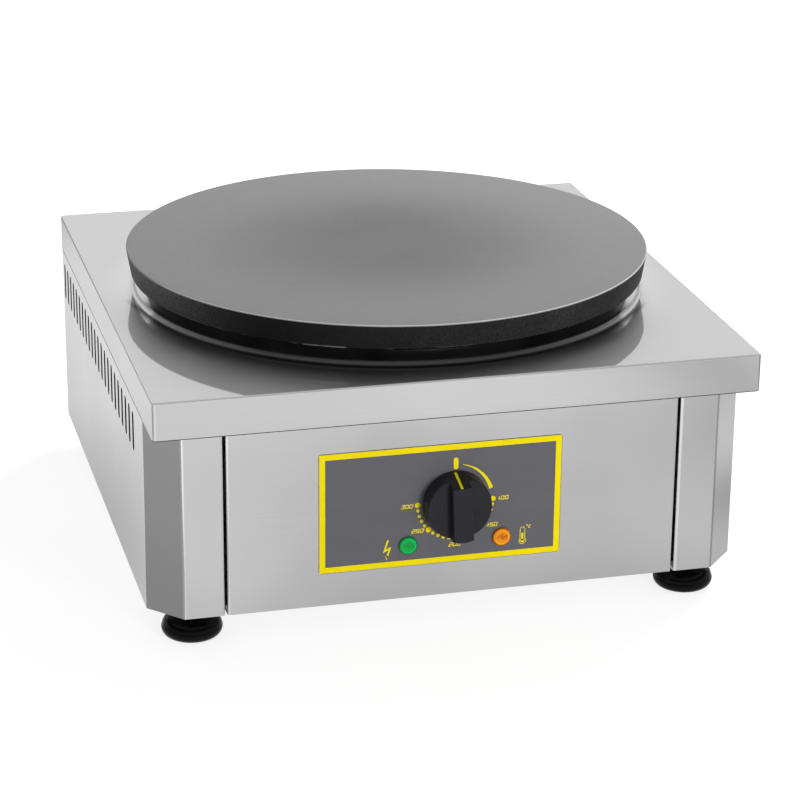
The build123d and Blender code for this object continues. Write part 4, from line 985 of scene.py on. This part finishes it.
# %% Section of the deck
bend_steps = 8
lip = 0.3 * mm


def quarter_turn():
    """Angles of a bend from 0 to 90 degrees, in radians."""
    return [pi / 2 * i / bend_steps for i in range(bend_steps + 1)]


# Each station is a distance in from the edge, a height, and a tilt of the normal.
edge_stations = [
    (cut_height * (1 - cos(a)), deck_low.z + cut_height * (1 - sin(a)), -a) for a in reversed(quarter_turn())
]
edge_stations += [
    (deck_bend * (1 - cos(a)), deck_top - deck_bend + deck_bend * sin(a), a) for a in quarter_turn()
]
root = Vector((collar_radius + collar_flare, deck_top + collar_flare))  # centre of the bend at the collar's foot
inner_flare = collar_flare + deck_sheet
lip_height = deck_high.z - lip
ring_stations = [(root.x - collar_flare * sin(a), root.y - collar_flare * cos(a), pi / 2 - a) for a in quarter_turn()]
ring_stations += [(collar_radius - lip * (1 - cos(a)), lip_height + lip * sin(a), a) for a in quarter_turn()]
ring_stations += [
    (collar_radius - deck_sheet + lip * (1 - sin(a)), lip_height + lip * cos(a), pi / 2 + a) for a in quarter_turn()
]
ring_stations += [
    (root.x - inner_flare * cos(a), root.y - inner_flare * sin(a), pi + a) for a in quarter_turn()
]
under_stations = [(deck_sheet, deck_top - deck_sheet, 1.25 * pi), (deck_sheet, deck_low.z, pi)]
print("deck section has", len(edge_stations) + len(ring_stations) + len(under_stations), "stations")


def stand(point, direction, height, tilt):
    """A point at that height, and its normal, tilted up from the level direction."""
    return Vector((point.x, point.y, height)), direction * cos(tilt) + Vector((0, 0, sin(tilt)))


# %% Lay out the deck
rows = [[stand(p - out * inset, out, z, tilt) for p, out in outline] for inset, z, tilt in edge_stations]
for reach, z, tilt in ring_stations:
    spokes = [Vector((p.x - plate_axis.x, p.y - plate_axis.y, 0)).normalized() for p, out in outline]
    rows.append([stand(plate_axis + spoke * reach, spoke, z, tilt) for spoke in spokes])
rows += [[stand(p - out * inset, out, z, tilt) for p, out in outline] for inset, z, tilt in under_stations]

around_count = len(outline)
deck_faces = []
for row in range(len(rows)):
    low, high = row * around_count, (row + 1) % len(rows) * around_count
    for i in range(around_count):
        j = (i + 1) % around_count
        deck_faces.append((low + i, low + j, high + j, high + i))
deck_mesh = bpy.data.meshes.new("buffed_deck")
deck_mesh.from_pydata([point for row in rows for point, normal in row], [], deck_faces)
deck_mesh.shade_smooth()
deck_mesh.normals_split_custom_set_from_vertices([normal for row in rows for point, normal in row])
deck_mesh.materials.append(finishes["polished_stainless"])
deck_mesh.materials.append(collar_steel)
collar_rows = range(len(edge_stations), len(rows) - len(under_stations))
for row in collar_rows:
    for polygon in deck_mesh.polygons[row * around_count : (row + 1) * around_count]:
        polygon.material_index = 1
deck = bpy.data.objects.new("buffed_deck", deck_mesh)
scene.collection.objects.link(deck)
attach(deck, "chassis")
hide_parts("deck_cover")
print("deck mesh:", len(deck_mesh.vertices), "points")

# %% [markdown]
# ## Print on the label
#
# The dial's scale is ink on the film. Each mark is a thin solid of its own on the film's face, so it stays crisp at
# any distance and needs no picture. Shapes are drawn in millimetres from the dial's axis, X to the right and Z up.

# %% Drawing helpers
label_low, label_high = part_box("control_label")
shaft_low, shaft_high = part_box("thermostat_shaft")
dial = (shaft_low + shaft_high) / 2
ink_depth = 0.05 * mm
least_mitre = 0.35  # keeps a sharp corner from reaching too far
print("dial axis at", round(dial.x / mm, 1), round(dial.z / mm, 1), "mm")


def ribbon(points, width, closed=False):
    """Quads that follow a line with mitred corners, as a list of polygons."""
    count = len(points)
    sides = []
    for i, point in enumerate(points):
        here = Vector(point)
        before = Vector(points[i - 1]) if closed or i else None
        after = Vector(points[(i + 1) % count]) if closed or i < count - 1 else None
        ways = [w.normalized() for w in (before and here - before, after and after - here) if w]
        normals = [Vector((-w.y, w.x)) for w in ways]
        mitre = sum(normals, Vector((0, 0))).normalized()
        reach = width / 2 / max(least_mitre, mitre.dot(normals[0]))
        sides.append((here + mitre * reach, here - mitre * reach))
    last = count if closed else count - 1
    return [
        [sides[i][0], sides[i][1], sides[(i + 1) % count][1], sides[(i + 1) % count][0]] for i in range(last)
    ]


def disc(x, z, radius, steps=28):
    """One round polygon."""
    return [Vector((x + radius * cos(2 * pi * i / steps), z + radius * sin(2 * pi * i / steps))) for i in range(steps)]


def around(angle, radius):
    """A point on the scale, its angle clockwise from the top in degrees."""
    return Vector((radius * sin(radians(angle)), radius * cos(radians(angle))))


def printed(name, polygons, slot="yellow_print"):
    """Thin solids of ink on the film's face."""
    shape = bmesh.new()
    for polygon in polygons:
        shape.faces.new([shape.verts.new((dial.x + p.x * mm, label_low.y, dial.z + p.y * mm)) for p in polygon])
    bmesh.ops.remove_doubles(shape, verts=shape.verts, dist=0.001 * mm)
    grown = bmesh.ops.extrude_face_region(shape, geom=shape.faces[:])
    front = [item for item in grown["geom"] if isinstance(item, bmesh.types.BMVert)]
    bmesh.ops.translate(shape, verts=front, vec=(0, -ink_depth, 0))
    bmesh.ops.recalc_face_normals(shape, faces=shape.faces)
    mesh = bpy.data.meshes.new(name)
    shape.to_mesh(mesh)
    shape.free()
    mesh.materials.append(finishes[slot])
    piece = bpy.data.objects.new(name, mesh)
    scene.collection.objects.link(piece)
    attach(piece, "chassis")
    print(name, len(mesh.polygons), "faces")
    return piece


# %% Border of the label
border_width = 4.3
border_inset = 0.35
left = (label_low.x - dial.x) / mm + border_inset + border_width / 2
right_side = (label_high.x - dial.x) / mm - border_inset - border_width / 2
bottom = (label_low.z - dial.z) / mm + border_inset + border_width / 2
top = (label_high.z - dial.z) / mm - border_inset - border_width / 2
printed(
    "label_border",
    ribbon([(left, bottom), (right_side, bottom), (right_side, top), (left, top)], border_width, closed=True),
)

# %% [markdown]
# The scale runs clockwise from 100 at three o'clock to 300 at nine o'clock. A large dot marks each 50 degrees, with
# four small dots between two large ones. A wedge that thickens shows where the plate begins to heat.

# %% Dots, off mark and wedge
scale_radius = 28.0
first_angle, last_angle = 90, 270
steps_between = 5
dot_count = 4 * steps_between + 1
large_dot, small_dot = 2.1, 1.3
dots = []
for i in range(dot_count):
    centre = around(first_angle + (last_angle - first_angle) * i / (dot_count - 1), scale_radius)
    dots.append(disc(centre.x, centre.y, large_dot if i % steps_between == 0 else small_dot))
printed("scale_dots", dots)

bar_half_width = 1.75
bar_low, bar_high = 27.0, 32.6
half_turn = range(0, 181, 15)
bar = [Vector((0, bar_high)) + around(90 - a, bar_half_width) for a in half_turn]
bar += [Vector((0, bar_low)) + around(-90 - a, bar_half_width) for a in half_turn]
printed("off_mark", [bar])

wedge_steps = 24
wedge_start, wedge_end = 10.0, 72.6
wedge_outer = 29.2
wedge_thin, wedge_growth = 0.4, 2.6
wedge = []
for i in range(wedge_steps):
    shares = (i / wedge_steps, (i + 1) / wedge_steps)
    angles = [wedge_start + (wedge_end - wedge_start) * s for s in shares]
    inner = [wedge_outer - wedge_thin - wedge_growth * s for s in shares]
    wedge.append(
        [
            around(angles[0], wedge_outer),
            around(angles[1], wedge_outer),
            around(angles[1], inner[1]),
            around(angles[0], inner[0]),
        ]
    )
printed("heating_wedge", wedge)

# %% [markdown]
# The figures are wide, square and slanted. Each is a few straight strokes on a unit box, which is then stretched and
# sheared. That is less work than a font, and the strokes keep one width.

# %% Figures
strokes = {
    "0": [([(0, 0), (1, 0), (1, 1), (0, 1)], True)],
    "1": [([(0.55, 0), (0.55, 1)], False)],
    "2": [([(0, 1), (1, 1), (1, 0.5), (0, 0.5), (0, 0), (1, 0)], False)],
    "3": [([(0, 1), (1, 1), (1, 0), (0, 0)], False), ([(0.3, 0.5), (1, 0.5)], False)],
    "5": [([(1, 1), (0, 1), (0, 0.5), (1, 0.5), (1, 0), (0, 0)], False)],
    "C": [([(1, 1), (0, 1), (0, 0), (1, 0)], False)],
}
figure_height = 2.5
figure_width = 2.1
figure_pitch = 3.1
narrow_pitch = 2.0
slant = 0.28
stroke = 0.55
lone_stroke = 1.4  # a 1 is drawn this much heavier


def figures(text, x, z, height=figure_height, width=figure_width, pitch=figure_pitch, line=stroke):
    """Ribbons for a line of figures, with its middle at x and z."""
    pitches = [narrow_pitch * pitch / figure_pitch if c == "1" else pitch for c in text]
    start = x - sum(pitches) / 2
    polygons = []
    for character, advance in zip(text, pitches):
        room = (advance - width) / 2
        weight = lone_stroke * line if character == "1" else line
        for points, closed in strokes[character]:
            placed = [
                (start + room + px * width + (pz - 0.5) * height * slant, z + (pz - 0.5) * height)
                for px, pz in points
            ]
            polygons += ribbon(placed, weight, closed)
        start += advance
    return polygons


number_places = {
    "100": (35.9, 0.0),
    "150": (27.9, -20.3),
    "200": (0.0, -33.1),
    "250": (-27.8, -20.1),
    "300": (-36.0, -0.4),
}
printed("scale_figures", [p for text, (x, z) in number_places.items() for p in figures(text, x, z)])

# %% [markdown]
# Two symbols stand beside the lamps: a flash for the mains lamp, and a thermometer for the heating lamp.

# %% Symbols
flash_place = Vector((-50.3, -32.3))
flash_width = 1.25
flash_line = [(0.5, 7.2), (-2.2, -1.4), (1.9, 0.7), (-0.3, -6.9)]
flash_tip = [(-1.6, -5.6), (-0.5, -8.4), (1.0, -5.0)]
flash = ribbon([Vector(p) + flash_place for p in flash_line], flash_width)
flash.append([Vector(p) + flash_place for p in flash_tip])
printed("mains_flash", flash)

tube_place = Vector((51.0, -31.7))
tube_line = 0.5
tube_rise, tube_half_width = 5.4, 1.75
bulb_drop, bulb_radius = 3.6, 2.5
filled_radius, column_rise, column_width = 1.5, 2.4, 1.5
degree_right, degree_rise, degree_radius, degree_line = 3.3, 8.2, 0.55, 0.35
bulb_middle = tube_place + Vector((0, -bulb_drop))
tube_outline = [tube_place + Vector((0, tube_rise)) + around(90 - a, tube_half_width) for a in range(0, 181, 30)]
bulb_outline = [bulb_middle + around(90 - a, bulb_radius) for a in range(135, 406, 18)]
thermometer = ribbon(tube_outline + bulb_outline, tube_line, closed=True)
thermometer.append(disc(tube_place.x, tube_place.y - bulb_drop, filled_radius))
thermometer += ribbon([bulb_middle, tube_place + Vector((0, column_rise))], column_width)
degree = disc(tube_place.x + degree_right, tube_place.y + degree_rise, degree_radius, 10)
thermometer += ribbon(degree, degree_line, closed=True)
thermometer += figures("C", tube_place.x + 5.4, tube_place.y + 7.2, 1.8, 1.3, 1.9, 0.45)
printed("thermometer_symbol", thermometer)
